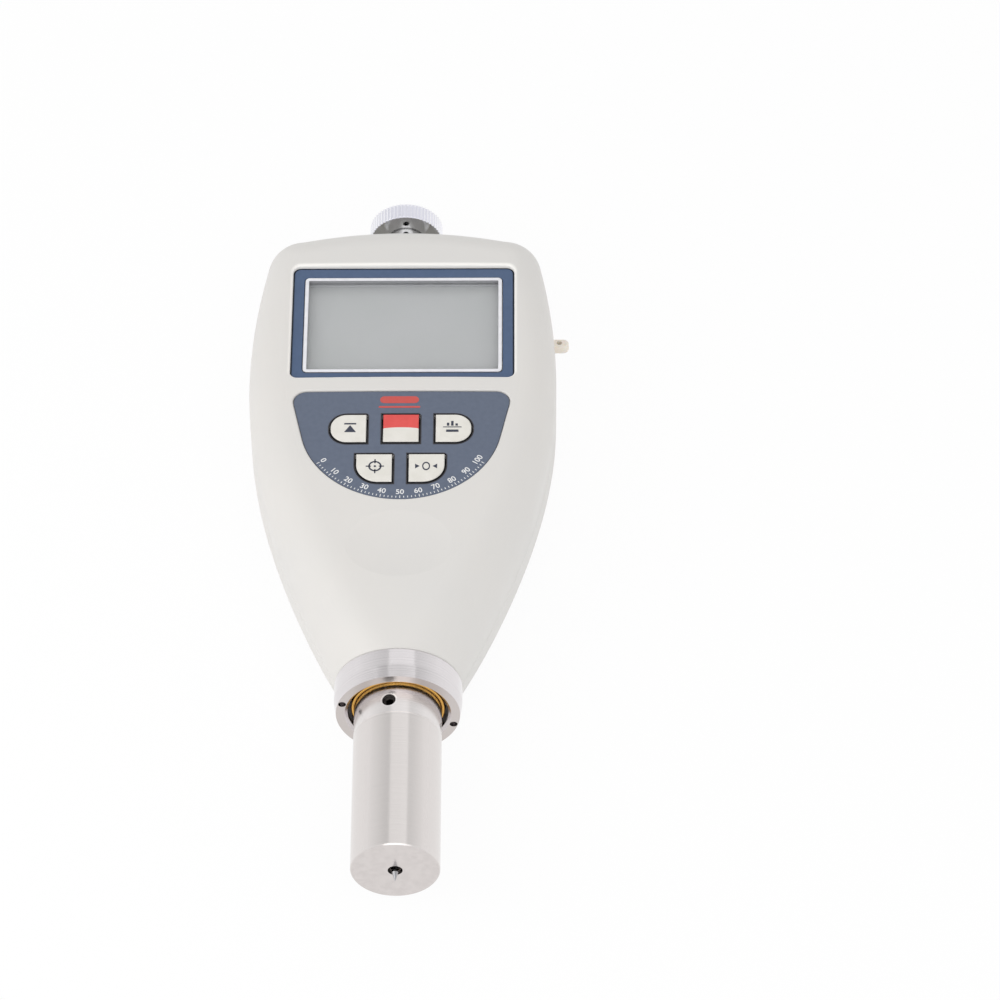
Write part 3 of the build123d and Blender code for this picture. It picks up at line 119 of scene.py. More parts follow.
# Fineness of round shapes, and the distance below which points become one
ROUND_STEPS = 40
WIRE_SIDES = 12
WELD_DISTANCE = 0.001

# A wave texture of scale 1 runs through this many radians in a metre
WAVE_RADIANS = 20


def channel(value):
    """Linear value of one screen channel from 0 to 1."""
    return value / 12.92 if value <= 0.04045 else ((value + 0.055) / 1.055) ** 2.4


def screen(red, green, blue):
    """Linear colour of a screen colour given as 0 to 255."""
    return tuple(channel(value / 255) for value in (red, green, blue)) + (1,)


def scaled(color, share, lift=0.0):
    """Colour with its three channels scaled and lifted."""
    return tuple(share * value + lift for value in color[:3]) + (1,)


# Colours that several finishes share
KEY_WHITE = screen(232, 229, 222)
KEY_CREAM = screen(226, 223, 215)
# Painted highlight on the broken edges of turned parts
BROKEN_EDGE_HIGHLIGHT = screen(252, 251, 250)


class Finish:
    """A node material round one Principled shader, with the patterns that the parts share."""

    def __init__(self, name, color, metallic=0.0):
        self.material = bpy.data.materials.new(name)
        self.material.use_nodes = True
        self.tree = self.material.node_tree
        self.shader = self.tree.nodes["Principled BSDF"]
        self.set("Base Color", color)
        self.set("Metallic", metallic)

    def set(self, name, value):
        """Gives an input of the shader one value all over."""
        self.shader.inputs[name].default_value = value

    def node(self, kind, **settings):
        """New node of the tree."""
        made = self.tree.nodes.new("ShaderNode" + kind)
        for name, value in settings.items():
            setattr(made, name, value)
        return made

    def link(self, source, target):
        """Links an output socket to an input socket."""
        self.tree.links.new(source, target)

    def feed(self, values, sockets):
        """Gives each input socket its value: an output socket, a number or a colour."""
        for value, socket in zip(values, sockets):
            if isinstance(value, bpy.types.NodeSocket):
                self.link(value, socket)
            else:
                socket.default_value = value

    def source(self, name):
        """Socket that feeds an input of the shader."""
        return self.shader.inputs[name].links[0].from_socket

    def math(self, operation, *values):
        """Math node of some values, each a socket or a number."""
        made = self.node("Math", operation=operation)
        self.feed(values, made.inputs)
        return made.outputs[0]

    def split(self, vector):
        """X, Y and Z of a vector, as sockets."""
        parts = self.node("SeparateXYZ")
        self.link(vector, parts.inputs[0])
        return parts.outputs

    def place(self):
        """Place in the row frame, in metres."""
        return self.node("TexCoord").outputs["Object"]

    def axes(self):
        """X, Y and Z of the place in the row frame, as sockets in metres."""
        return self.split(self.place())

    def normal(self):
        """Direction in which the surface faces."""
        return self.node("NewGeometry").outputs["Normal"]

    def facing(self, axis):
        """How far the surface faces along a world axis, from -1 to 1."""
        return self.split(self.normal())[axis]

    def steep(self, start=0.3, end=0.6):
        """1 on surfaces that face upward by less than start, 0 beyond end."""
        return self.spread(self.facing("Z"), 1, 0, start, end)

    def lower_face(self):
        """1 on faces square to the probe axis that look towards the needle, 0 elsewhere."""
        square, tilted = -0.95, -0.85
        return self.spread(self.facing("Y"), 1, 0, square, tilted)

    def inside(self, low, high):
        """1 inside the box between two corners in metres, 0 outside it."""
        share = 1.0
        for axis, start, end in zip(self.axes(), low, high):
            within = self.math("COMPARE", axis, (start + end) / 2, (end - start) / 2)
            share = self.math("MULTIPLY", within, share)
        return share

    def beyond_outline(self, low, high, corner):
        """Distance in millimetres outside the rounded outline of a box, seen from above."""
        square = 0.0
        for axis, start, end in zip(list(self.axes())[:2], low, high):
            offset = self.math("ABSOLUTE", self.math("SUBTRACT", axis, (start + end) / 2))
            over = self.math("SUBTRACT", offset, (end - start) / 2 - corner * MM)
            over = self.math("MAXIMUM", over, 0.0)
            square = self.math("MULTIPLY_ADD", over, over, square)
        distance = self.math("SUBTRACT", self.math("SQRT", square), corner * MM)
        return self.math("DIVIDE", distance, MM)

    def length(self, first, second):
        """Length of two offsets at right angles."""
        square = self.math("MULTIPLY", first, first)
        return self.math("SQRT", self.math("MULTIPLY_ADD", second, second, square))

    def radius(self):
        """Distance from the probe axis in metres."""
        place = self.axes()
        return self.length(place["X"], self.math("SUBTRACT", place["Z"], AXIS_Z * MM))

    def noise(self, size, stretch=(1, 1, 1), detail=3):
        """Noise whose features are about size millimetres across."""
        mapping = self.node("Mapping")
        mapping.inputs["Scale"].default_value = stretch
        self.link(self.place(), mapping.inputs["Vector"])
        texture = self.node("TexNoise")
        texture.inputs["Scale"].default_value = 1 / (size * MM)
        texture.inputs["Detail"].default_value = detail
        self.link(mapping.outputs["Vector"], texture.inputs["Vector"])
        return texture.outputs["Fac"]

    def turning(self, size, detail=4):
        """Fine lines round the probe axis, both along barrels and across end faces."""
        texture = self.node("TexNoise", noise_dimensions="1D")
        texture.inputs["Scale"].default_value = 1 / (size * MM)
        texture.inputs["Detail"].default_value = detail
        self.link(self.math("ADD", self.axes()["Y"], self.radius()), texture.inputs["W"])
        return texture.outputs["Fac"]

    def bands(self, axis, pitch):
        """Waves from 0 to 1 along an axis, one to each pitch in millimetres."""
        texture = self.node("TexWave", bands_direction=axis)
        texture.inputs["Scale"].default_value = math.tau / WAVE_RADIANS / (pitch * MM)
        self.link(self.place(), texture.inputs["Vector"])
        return texture.outputs["Fac"]

    def spread(self, pattern, low, high, start=0.35, end=0.65):
        """Spreads a pattern's values from start to end over the range from low to high."""
        made = self.node("MapRange")
        self.feed((pattern, start, end, low, high), made.inputs)
        return made.outputs["Result"]

    def mottle(self, size):
        """Patches from 0 to 1, about size millimetres across."""
        return self.spread(self.noise(size), 0, 1)

    def blend(self, pattern, first, second):
        """Mix of two colours by a pattern. Each is a colour or a socket."""
        made = self.node("MixRGB")
        self.feed((pattern, first, second), made.inputs)
        return made.outputs["Color"]

    def worn_edges(self, plain, highlight_color, radius, amount):
        """Colour that turns to a lighter one, in patches, where the surface bends sharply: a painted
        edge highlight.
        """
        sharp, flat = 0.72, 0.99
        patch_size, least_highlight = 2.2, 0.35
        bevel = self.node("Bevel", samples=6)
        bevel.inputs["Radius"].default_value = radius * MM
        product = self.node("VectorMath", operation="DOT_PRODUCT")
        self.feed((bevel.outputs["Normal"], self.normal()), product.inputs)
        bend = self.spread(product.outputs["Value"], amount, 0, sharp, flat)
        patch = self.spread(self.noise(patch_size), least_highlight, 1)
        return self.blend(self.math("MULTIPLY", bend, patch), plain, highlight_color)

    def color(self, source):
        """Colour of the surface, from a socket."""
        self.link(source, self.shader.inputs["Base Color"])

    def roughness(self, pattern, low, high):
        """Roughness of the surface, between two values by a pattern."""
        self.link(self.spread(pattern, low, high), self.shader.inputs["Roughness"])

    def bump(self, pattern, depth):
        """Relief of a depth in millimetres, on top of any relief added before."""
        made = self.node("Bump")
        made.inputs["Distance"].default_value = depth * MM
        self.link(pattern, made.inputs["Height"])
        normal = self.shader.inputs["Normal"]
        if normal.is_linked:
            self.link(self.source("Normal"), made.inputs["Normal"])
        self.link(made.outputs["Normal"], normal)

    def mix_shaders(self, share, first, second):
        """Puts out a mix of two shaders. share is the second one's, a number or a socket."""
        mix = self.node("MixShader")
        self.feed((share, first, second), mix.inputs)
        self.link(mix.outputs["Shader"], self.tree.nodes["Material Output"].inputs["Surface"])

    def dress(self, *names):
        """Gives the finish to CAD nodes."""
        for name in names:
            mesh = nodes[name].data
            mesh.materials.clear()
            mesh.materials.append(self.material)


# Finishes of the CAD nodes and of the prints
def case_plastic():
    """Pale warm grey moulding with a spark-eroded grain, painted highlights on its edges, brightest
    round the display, and painted shade in the display recess and window well.
    """
    plain = screen(224, 221, 217)
    finish = Finish("case_plastic", plain)
    shade = finish.blend(finish.mottle(38), plain, screen(221, 219, 216))
    # Painted highlight on the sharp edges.
    shade = finish.worn_edges(shade, screen(234, 231, 227), radius=0.35, amount=0.6)
    low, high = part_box("display_bezel")
    # Painted highlight on the lip round the display recess.
    outside = finish.beyond_outline(low, high, RECESS_CORNER)
    rim = finish.spread(outside, 1, 0, RIM_HIGHLIGHT_WIDTH / 2, RIM_HIGHLIGHT_WIDTH)
    front = finish.math("GREATER_THAN", finish.axes()["Z"], low.z - WELL_DEPTH * MM)
    shade = finish.blend(finish.math("MULTIPLY", rim, front), shade, screen(254, 251, 246))
    # Painted shade in the gap round the bezel, on the recess walls below its top.
    room = Vector((RECESS_ROOM, RECESS_ROOM, 0)) * MM
    below_rim = Vector((0, 0, RECESS_SHADE_DEPTH)) * MM
    recess_shade = finish.inside(low - room, high + room - below_rim)
    shade = finish.blend(recess_shade, shade, screen(58, 66, 80))
    # Painted shade in grey on the ledge and walls of the window well.
    low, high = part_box("display_trim")
    well = finish.inside(low - Vector((0, 0, WELL_DEPTH)) * MM, high)
    finish.color(finish.blend(well, shade, screen(182, 183, 187)))
    finish.roughness(finish.noise(7), low=0.38, high=0.47)
    finish.bump(finish.noise(0.42, detail=2), depth=0.006)
    finish.bump(finish.noise(60), depth=0.02)
    finish.dress("front_shell", "back_shell", "battery_door")


def blue_film(name, node, plain, deep):
    """Printed film: slate blue, satin, with the fine mottle of its hard coat and painted shade on its
    steep cut edges.
    """
    finish = Finish(name, plain)
    shade = finish.blend(finish.mottle(1.1), plain, deep)
    # Painted shade on the steep cut edges, where the film meets the recess wall.
    finish.color(finish.blend(finish.steep(), shade, screen(44, 48, 60)))
    finish.roughness(finish.noise(2.5), low=0.36, high=0.46)
    finish.bump(finish.noise(0.18, detail=2), depth=0.004)
    finish.dress(node)


def display_line():
    """White line round the window. Its inner wall has painted shade in grey, as the sides of the window
    well have.
    """
    white = screen(238, 238, 242)
    finish = Finish("display_line", white)
    shade = finish.blend(finish.mottle(1.5), white, screen(229, 229, 234))
    # Painted shade in grey on the steep inner wall.
    finish.color(finish.blend(finish.steep(), shade, screen(154, 154, 158)))
    finish.roughness(finish.noise(1.2), low=0.3, high=0.4)
    finish.bump(finish.noise(0.3), depth=0.004)
    finish.dress("display_trim")


def dress_keys(finish, shade, *names):
    """Fine grain of a key's plastic, and painted shade on its sides and flange below the rounded edge,
    in the gap round the key.
    """
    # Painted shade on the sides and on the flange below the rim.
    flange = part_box("key_power")[1].z - KEY_RIM_DEPTH * MM
    deep = finish.math("LESS_THAN", finish.axes()["Z"], flange)
    skirt_shade = finish.math("MAXIMUM", finish.steep(start=0.1, end=0.4), deep)
    finish.color(finish.blend(skirt_shade, shade, screen(46, 46, 52)))
    finish.roughness(finish.noise(1.4), low=0.28, high=0.4)
    finish.bump(finish.noise(0.25), depth=0.004)
    finish.dress(*names)


def key_plastic():
    """Off-white keys with a light haze of handling and a painted highlight on the rim."""
    finish = Finish("key_plastic", KEY_WHITE)
    shade = finish.blend(finish.mottle(2.4), KEY_WHITE, KEY_CREAM)
    # Painted highlight on the rim.
    shade = finish.worn_edges(shade, screen(250, 247, 240), radius=0.4, amount=0.8)
    dress_keys(finish, shade, "key_peak", "key_mean", "key_calibrate", "key_zero")


def power_key_plastic():
    """Two-colour key: red above a slightly arched line, off-white below it, with a painted highlight on
    the rim.
    """
    split_above_middle = 0.1
    arch = 0.45
    blur = 0.02
    low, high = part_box("key_power")
    middle = (low.y + high.y) / 2 + split_above_middle * MM
    half = (high.x - low.x) / 2
    red = screen(229, 84, 80)
    finish = Finish("power_key_plastic", red)
    place = finish.axes()
    bow = finish.math("MULTIPLY", place["X"], place["X"])
    bow = finish.math("MULTIPLY", bow, arch * MM / half**2)
    level = finish.math("ADD", finish.math("SUBTRACT", place["Y"], middle), bow)
    upper = finish.spread(level, 0, 1, -blur * MM, blur * MM)
    mottle = finish.mottle(2.4)
    lower_shade = finish.blend(mottle, KEY_WHITE, KEY_CREAM)
    upper_shade = finish.blend(mottle, red, screen(222, 76, 72))
    shade = finish.blend(upper, lower_shade, upper_shade)
    # Painted highlight on the rim.
    shade = finish.worn_edges(shade, screen(250, 240, 234), radius=0.3, amount=0.35)
    dress_keys(finish, shade, "key_power")


def clear_window():
    """Clear lens: nearly all of it lets light straight through, the rest is its polished surface."""
    surface_share = 0.12
    finish = Finish("clear_window", screen(206, 209, 211))
    finish.roughness(finish.noise(9), low=0.04, high=0.1)
    finish.bump(finish.noise(14), depth=0.0002)
    clear = finish.node("BsdfTransparent").outputs["BSDF"]
    finish.mix_shaders(surface_share, clear, finish.shader.outputs["BSDF"])
    finish.dress("display_window")


def lcd_glass():
    """Switched-off liquid crystal glass: even neutral grey with the faint grain of its polariser."""
    plain = screen(194, 195, 196)
    finish = Finish("lcd_glass", plain)
    finish.color(finish.blend(finish.mottle(11), plain, screen(190, 192, 192)))
    finish.roughness(finish.noise(0.6, (1, 8, 1)), low=0.26, high=0.36)
    finish.bump(finish.noise(0.12, (1, 6, 1)), depth=0.002)
    finish.dress("lcd_panel")


def turned_metal(name, color, dark, low, high, pitch, names, relief=0.001):
    """Turned metal: fine lines round the axis in its colour, relief and slightly smeared gloss."""
    smear_size, patch_size = 0.8, 3
    least_smear, most_smear = 0.2, 0.6
    finish = Finish(name, color, metallic=1.0)
    lines = finish.turning(pitch)
    finish.color(finish.blend(finish.spread(lines, 0, 1), dark, color))
    smeared = finish.spread(finish.noise(patch_size), least_smear, most_smear)
    gloss = finish.blend(smeared, lines, finish.noise(smear_size))
    finish.roughness(gloss, low, high)
    finish.bump(lines, relief)
    finish.dress(*names)
    return finish


def barrel_steel():
    """Polished barrel with a painted highlight on its upper edge and a darker, mottled end face."""
    face_depth = 0.12
    highlight_width = 0.3
    finish = turned_metal(
        "turned_steel", screen(229, 224, 222), screen(216, 211, 209), low=0.14, high=0.24, pitch=0.11,
        names=["presser_foot", "retaining_nut"],
    )
    y = finish.axes()["Y"]
    upper_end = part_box("presser_foot")[1].y
    # Painted highlight on the upper edge.
    edge = finish.spread(y, 0, 1, upper_end - highlight_width * MM, upper_end - highlight_width / 2 * MM)
    shade = finish.blend(edge, finish.source("Base Color"), BROKEN_EDGE_HIGHLIGHT)
    ground = finish.blend(finish.mottle(1.3), screen(217, 211, 209), screen(211, 205, 203))
    face = finish.spread(y, 1, 0, FOOT_FACE_Y * MM, (FOOT_FACE_Y + face_depth) * MM)
    finish.color(finish.blend(face, shade, ground))


def sleeve_steel():
    """Satin sleeve with a painted highlight round the broken edge of its screw hole, brightest at the
    top.
    """
    hole_radius = 1.4
    highlight_width = 0.4
    lowest_highlight = 0.15
    finish = turned_metal(
        "satin_steel", screen(236, 232, 231), screen(224, 220, 219), low=0.18, high=0.28, pitch=0.11,
        names=["probe_sleeve"],
    )
    low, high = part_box("sleeve_screw")
    middle = (low + high) / 2
    lean = math.atan2(-middle.x, middle.z - AXIS_Z * MM)
    x, y, z = finish.axes()
    height = finish.math("SUBTRACT", z, AXIS_Z * MM)
    across = finish.math("MULTIPLY", x, math.cos(lean))
    across = finish.math("MULTIPLY_ADD", height, math.sin(lean), across)
    above = finish.math("SUBTRACT", y, middle.y)
    distance = finish.length(across, above)
    # Painted highlight on the edge round the hole, weaker below the middle.
    edge = finish.math("COMPARE", distance, (hole_radius + highlight_width / 2) * MM, highlight_width / 2 * MM)
    edge = finish.math("MULTIPLY", edge, finish.math("GREATER_THAN", height, 0.0))
    upper = finish.spread(above, lowest_highlight, 1, 0.0, hole_radius / 2 * MM)
    edge = finish.math("MULTIPLY", edge, upper)
    finish.color(finish.blend(edge, finish.source("Base Color"), BROKEN_EDGE_HIGHLIGHT))


def collar_alloy():
    """Bright turned collar whose faced end is darker and more satin than its rim."""
    face_roughness = 0.34
    finish = turned_metal(
        "satin_alloy", screen(232, 228, 229), screen(214, 210, 212), low=0.1, high=0.2, pitch=0.14,
        names=["clamp_collar"],
    )
    face = finish.lower_face()
    finish.color(finish.blend(face, finish.source("Base Color"), screen(206, 199, 196)))
    satin = finish.math("MULTIPLY", face, face_roughness)
    roughness = finish.math("MAXIMUM", finish.source("Roughness"), satin)
    finish.link(roughness, finish.shader.inputs["Roughness"])


def chrome():
    """Bright plating with hairline scratches, a faint painted highlight on sharp edges, and painted
    shade in the knurl's grooves and on the face under the rim.
    """
    knurl_floor = 0.34
    knurl_tip = 0.28
    plain = screen(246, 246, 250)
    finish = Finish("chrome", plain, metallic=1.0)
    # Faint painted highlight on sharp edges.
    shade = finish.worn_edges(plain, screen(250, 250, 252), radius=0.15, amount=0.5)
    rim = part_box("stand_knob")[1].x
    radius = finish.radius()
    # Painted shade in the grooves of the knurl.
    groove_shade = finish.spread(radius, 1, 0, rim - knurl_floor * MM, rim - knurl_tip * MM)
    on_rim = finish.math("GREATER_THAN", radius, rim - 2 * knurl_floor * MM)
    shade = finish.blend(finish.math("MULTIPLY", groove_shade, on_rim), shade, screen(229, 229, 239))
    # Painted shade on the face under the rim.
    finish.color(finish.blend(finish.lower_face(), shade, screen(176, 176, 174)))
    hairs = finish.noise(0.25, (1, 14, 1), detail=5)
    finish.roughness(hairs, low=0.07, high=0.2)
    finish.bump(hairs, depth=0.0015)
    finish.bump(finish.noise(2.8), depth=0.004)
    finish.dress("stand_knob", "knob_washer")


def bright_metal(name, color, low, high, names):
    """Cut or pressed metal for small parts, with short random scratches."""
    deep_share = 0.86
    finish = Finish(name, color, metallic=1.0)
    finish.color(finish.blend(finish.mottle(1.6), color, scaled(color, deep_share)))
    scratches = finish.noise(0.3, (1, 5, 1), detail=4)
    finish.roughness(scratches, low, high)
    finish.bump(scratches, depth=0.003)
    finish.dress(*names)
    return finish


def cream_rubber():
    """Soft cream elastomer, matt, a little grubby where fingers pull it."""
    plain = screen(243, 236, 226)
    finish = Finish("cream_rubber", plain)
    finish.color(finish.blend(finish.mottle(1.8), plain, screen(238, 230, 217)))
    finish.set("Subsurface Weight", 0.15)
    finish.set("Subsurface Radius", (0.6 * MM, 0.4 * MM, 0.25 * MM))
    finish.roughness(finish.noise(0.9), low=0.48, high=0.62)
    finish.bump(finish.noise(0.22), depth=0.006)
    finish.dress("dust_plug")


def black_plastic():
    """Moulded black of the inner parts, with a fine grain."""
    plain = screen(38, 38, 41)
    finish = Finish("black_plastic", plain)
    finish.color(finish.blend(finish.mottle(4), plain, screen(50, 50, 53)))
    finish.roughness(finish.noise(1.5), low=0.42, high=0.58)
    finish.bump(finish.noise(0.3), depth=0.006)
    finish.dress("lcd_holder", "board_chips", "key_switches", "data_jack", "sensor_former")


def board_mask():
    """Green solder mask over copper traces, which show as lighter lines."""
    pin_pitch = 1.27
    block = 8 * pin_pitch
    trace_share = 0.03
    mask = screen(28, 92, 52)
    finish = Finish("board_mask", mask)
    tracks = finish.node("TexBrick")
    tracks.inputs["Scale"].default_value = 1 / (block * MM)
    tracks.inputs["Mortar Size"].default_value = trace_share
    finish.link(finish.place(), tracks.inputs["Vector"])
    traces = finish.spread(tracks.outputs["Fac"], 0, 1, 0.2, 0.8)
    ground = finish.blend(finish.mottle(9), mask, screen(24, 82, 46))
    finish.color(finish.blend(traces, ground, screen(62, 128, 74)))
    finish.roughness(finish.noise(3), low=0.24, high=0.36)
    finish.bump(traces, depth=0.02)
    finish.dress("main_board")


def cell_wrap():
    """Battery wraps: a pale band at one end of a dark sleeve, under a clear gloss coat."""
    band_start = WELL_Y + 12.0
    blur = 0.1
    dark = screen(40, 44, 52)
    finish = Finish("cell_wrap", dark)
    band = finish.spread(finish.axes()["Y"], 0, 1, (band_start - blur) * MM, (band_start + blur) * MM)
    shade = finish.blend(finish.mottle(3), dark, screen(46, 50, 58))
    finish.color(finish.blend(band, shade, screen(196, 150, 92)))
    finish.roughness(finish.noise(2), low=0.22, high=0.34)
    finish.bump(finish.noise(0.8), depth=0.004)
    finish.set("Coat Weight", 0.4)
    finish.dress("battery_cells")


def wound_copper():
    """Enamelled wire laid in close turns round the probe axis, with painted shade between the turns."""
    wire = 0.2
    plain = screen(176, 98, 52)
    finish = Finish("wound_copper", plain, metallic=0.9)
    turns = finish.bands("Y", wire)
    # Painted shade in the creases between the turns.
    finish.color(finish.blend(turns, screen(112, 56, 26), plain))
    finish.roughness(finish.noise(1), low=0.24, high=0.4)
    finish.bump(turns, depth=wire / 4)
    finish.dress("sensor_windings")


def zebra_strip():
    """Elastomer strip of alternating black and white layers."""
    layer = 0.5
    black = screen(34, 34, 36)
    finish = Finish("zebra_strip", black)
    finish.color(finish.blend(finish.bands("X", layer), black, screen(170, 168, 166)))
    finish.roughness(finish.noise(1), low=0.5, high=0.7)
    finish.bump(finish.noise(0.3), depth=0.006)
    finish.dress("lcd_connectors")


def ink(name, color):
    """Screen-printed ink: slightly uneven cover and a soft gloss."""
    thin_share, thin_lift = 0.9, 0.02
    finish = Finish(name, color)
    finish.color(finish.blend(finish.mottle(0.5), color, scaled(color, thin_share, thin_lift)))
    finish.roughness(finish.noise(0.8), low=0.38, high=0.5)
    finish.bump(finish.noise(0.15), depth=0.003)
    return finish


case_plastic()
blue_film("bezel_film", "display_bezel", screen(73, 94, 127), screen(70, 91, 123))
blue_film("keypad_film", "keypad_overlay", screen(96, 106, 125), screen(92, 102, 121))
display_line()
key_plastic()
power_key_plastic()
clear_window()
lcd_glass()
barrel_steel()
sleeve_steel()
collar_alloy()
turned_brass = turned_metal(
    "turned_brass", screen(240, 192, 104), screen(214, 162, 80), low=0.16, high=0.28, pitch=0.09,
    names=["stand_bush", "guide_bush", "rear_bush"], relief=0.0015,
)
turned_metal(
    "ground_steel", screen(206, 206, 208), screen(176, 176, 180), low=0.14, high=0.24, pitch=0.06,
    names=["indenter", "plunger", "spring_adjuster"],
)
chrome()
plated_steel = bright_metal(
    "plated_steel", screen(196, 196, 198), low=0.2, high=0.36,
    names=["case_screws", "board_screws", "battery_contacts", "sensor_core"],
)
bright_metal("blackened_steel", screen(58, 55, 54), low=0.26, high=0.42, names=["sleeve_screw"])
cream_rubber()
black_plastic()
board_mask()
cell_wrap()
wound_copper()
zebra_strip()
# Black ink that draws the painted shade round the keys
gap_shade_ink = ink("gap_shade_ink", screen(42, 40, 46))
ink_blue = ink("ink_blue", screen(44, 50, 70))
ink_white = ink("ink_white", screen(240, 240, 240))
ink_red = ink("ink_red", screen(205, 78, 72))


# Pieces made here: prints, painted shade round the keys, seal ring and spring
def add_piece(name, mesh, body, finish):
    """Makes an object of a mesh and lets it ride on a body."""
    bmesh.ops.recalc_face_normals(mesh, faces=mesh.faces)
    data = bpy.data.meshes.new(name)
    mesh.to_mesh(data)
    mesh.free()
    data.materials.append(finish.material)
    piece = bpy.data.objects.new(name, data)
    bpy.context.scene.collection.objects.link(piece)
    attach(piece, body)
    return piece


def print_piece(name, polygons, height, body, finish):
    """Thin raised print. polygons are closed convex outlines, and height gives the surface at x."""
    mesh = bmesh.new()
    for polygon in polygons:
        base = [mesh.verts.new((x, y, height(x) - PRINT_SINK)) for x, y in polygon]
        top = [mesh.verts.new((x, y, height(x) + PRINT_THICKNESS)) for x, y in polygon]
        mesh.faces.new(top)
        mesh.faces.new(base[::-1])
        for i, vertex in enumerate(base):
            following = (i + 1) % len(base)
            mesh.faces.new((vertex, base[following], top[following], top[i]))
    bmesh.ops.scale(mesh, vec=(MM, MM, MM), verts=mesh.verts)
    add_piece(name, mesh, body, finish)


def swept_piece(name, rings, finish, node):
    """Piece swept through rings of points, which stands for a CAD node. Its ends may meet."""
    mesh = bmesh.new()
    rows = [[mesh.verts.new(point) for point in ring] for ring in rings]
    for row, after in zip(rows, rows[1:]):
        for i, vertex in enumerate(row):
            mesh.faces.new((row[i - 1], vertex, after[i], after[i - 1])).smooth = True
    ends_apart = (rows[0][0].co - rows[-1][0].co).length > WELD_DISTANCE * MM
    if ends_apart:
        mesh.faces.new(rows[0])
        mesh.faces.new(rows[-1])
    bmesh.ops.remove_doubles(mesh, verts=mesh.verts, dist=WELD_DISTANCE * MM)
    piece = add_piece(name, mesh, "housing", finish)
    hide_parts(node)
    return piece


def axis_point(angle, radius, y):
    """Point at an angle round the probe axis, in metres."""
    return Vector((radius * math.cos(angle), y, AXIS_Z * MM + radius * math.sin(angle)))


def seal_ring():
    """Brass ring with a round front edge, close round the sleeve and set back in the collar."""
    edge = SEAL_WIDTH / 2
    middle = SEAL_INNER_RADIUS + edge
    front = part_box("clamp_collar")[0].y / MM + SEAL_RECESS
    section = [(middle + edge, front + SEAL_LENGTH), (middle - edge, front + SEAL_LENGTH)]
    for i in range(WIRE_SIDES + 1):
        angle = math.pi * (1 + i / WIRE_SIDES)
        section.append((middle + edge * math.cos(angle), front + edge * (1 + math.sin(angle))))
    steps = 2 * ROUND_STEPS
    rings = []
    for i in range(steps + 1):
        angle = math.tau * i / steps
        rings.append([axis_point(angle, radius * MM, y * MM) for radius, y in section])
    swept_piece("seal_ring", rings, turned_brass, "brass_ring")


def spring_coil():
    """Measuring spring with closed ends, with a mesh of its own."""
    low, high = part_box("measuring_spring")
    wire = SPRING_WIRE * MM
    coil_radius = (high.x - low.x - wire) / 2
    open_turns = SPRING_TURNS - 2
    rise = high.y - low.y - wire - 2 * SPRING_END_GAP * MM
    open_pitch = (rise - 2 * wire) / open_turns
    start = low.y + wire / 2 + SPRING_END_GAP * MM
    rings = []
    for i in range(SPRING_TURNS * ROUND_STEPS + 1):
        turn = i / ROUND_STEPS
        opened = min(max(turn - 1, 0), open_turns)
        y = start + opened * open_pitch + (turn - opened) * wire
        ring = []
        for k in range(WIRE_SIDES):
            side = math.tau * k / WIRE_SIDES
            radius = coil_radius + wire / 2 * math.cos(side)
            ring.append(axis_point(math.tau * turn, radius, y + wire / 2 * math.sin(side)))
        rings.append(ring)
    piece = swept_piece("spring_coil", rings, plated_steel, "measuring_spring")
    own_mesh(piece)


def box_outline(x, y, width, height):
    """Box round a middle point."""
    return [
        (x - width / 2, y - height / 2),
        (x + width / 2, y - height / 2),
        (x + width / 2, y + height / 2),
        (x - width / 2, y + height / 2),
    ]


def bar_outline(x, y, width, height):
    """Bar with round ends."""
    radius = height / 2
    steps = ROUND_STEPS // 2
    points = []
    for end, start in ((1, -90), (-1, 90)):
        middle = x + end * (width / 2 - radius)
        for i in range(steps + 1):
            angle = math.radians(start + 180 * i / steps)
            points.append((middle + radius * math.cos(angle), y + radius * math.sin(angle)))
    return points


def ring_outlines(x, y, radius, line, squeeze=1.0):
    """Ring as a run of four-sided outlines, squeezed along X for an oval."""
    inner = radius - line
    outlines = []
    for i in range(ROUND_STEPS):
        first, second = (math.tau * k / ROUND_STEPS for k in (i, i + 1))
        outline = []
        for reach, angle in ((inner, first), (radius, first), (radius, second), (inner, second)):
            outline.append((x + squeeze * reach * math.cos(angle), y + reach * math.sin(angle)))
        outlines.append(outline)
    return outlines


def key_middle(node, right, up):
    """Middle of a key seen from above, moved to the right and up."""
    low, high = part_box(node)
    return (low.x + high.x) / 2 / MM + right, (low.y + high.y) / 2 / MM + up


def key_print(node, polygons):
    """Pictogram on a key, which moves with it."""
    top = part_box(node)[1].z / MM
    print_piece(node + "_mark", polygons, lambda x: top, node + "_body", ink_blue)


def peak_mark():
    """Triangle under a bar: hold the highest reading."""
    half_width = 1.25
    foot = -1.15
    tip = 0.75
    bar_above = 1.15
    bar_height = 0.38
    x, y = key_middle("key_peak", right=0.35, up=0.0)
    triangle = [(x - half_width, y + foot), (x + half_width, y + foot), (x, y + tip)]
    bar = box_outline(x, y + bar_above, 2 * half_width, bar_height)
    key_print("key_peak", [triangle, bar])


def mean_mark():
    """Three columns over a line and a level bar: mean of several readings."""
    spacing = 0.9
    column_width = 0.5
    column_foot = 0.55
    column_heights = (0.8, 1.3, 0.6)
    line_above = 0.2
    bar_below = 0.85
    x, y = key_middle("key_mean", right=-0.25, up=0.0)
    polygons = []
    for i, height in enumerate(column_heights):
        middle = x + (i - 1) * spacing
        polygons.append(box_outline(middle, y + column_foot + height / 2, column_width, height))
    polygons.append(box_outline(x, y + line_above, width=3.9, height=0.22))
    polygons.append(box_outline(x, y - bar_below, width=2.6, height=0.62))
    key_print("key_mean", polygons)


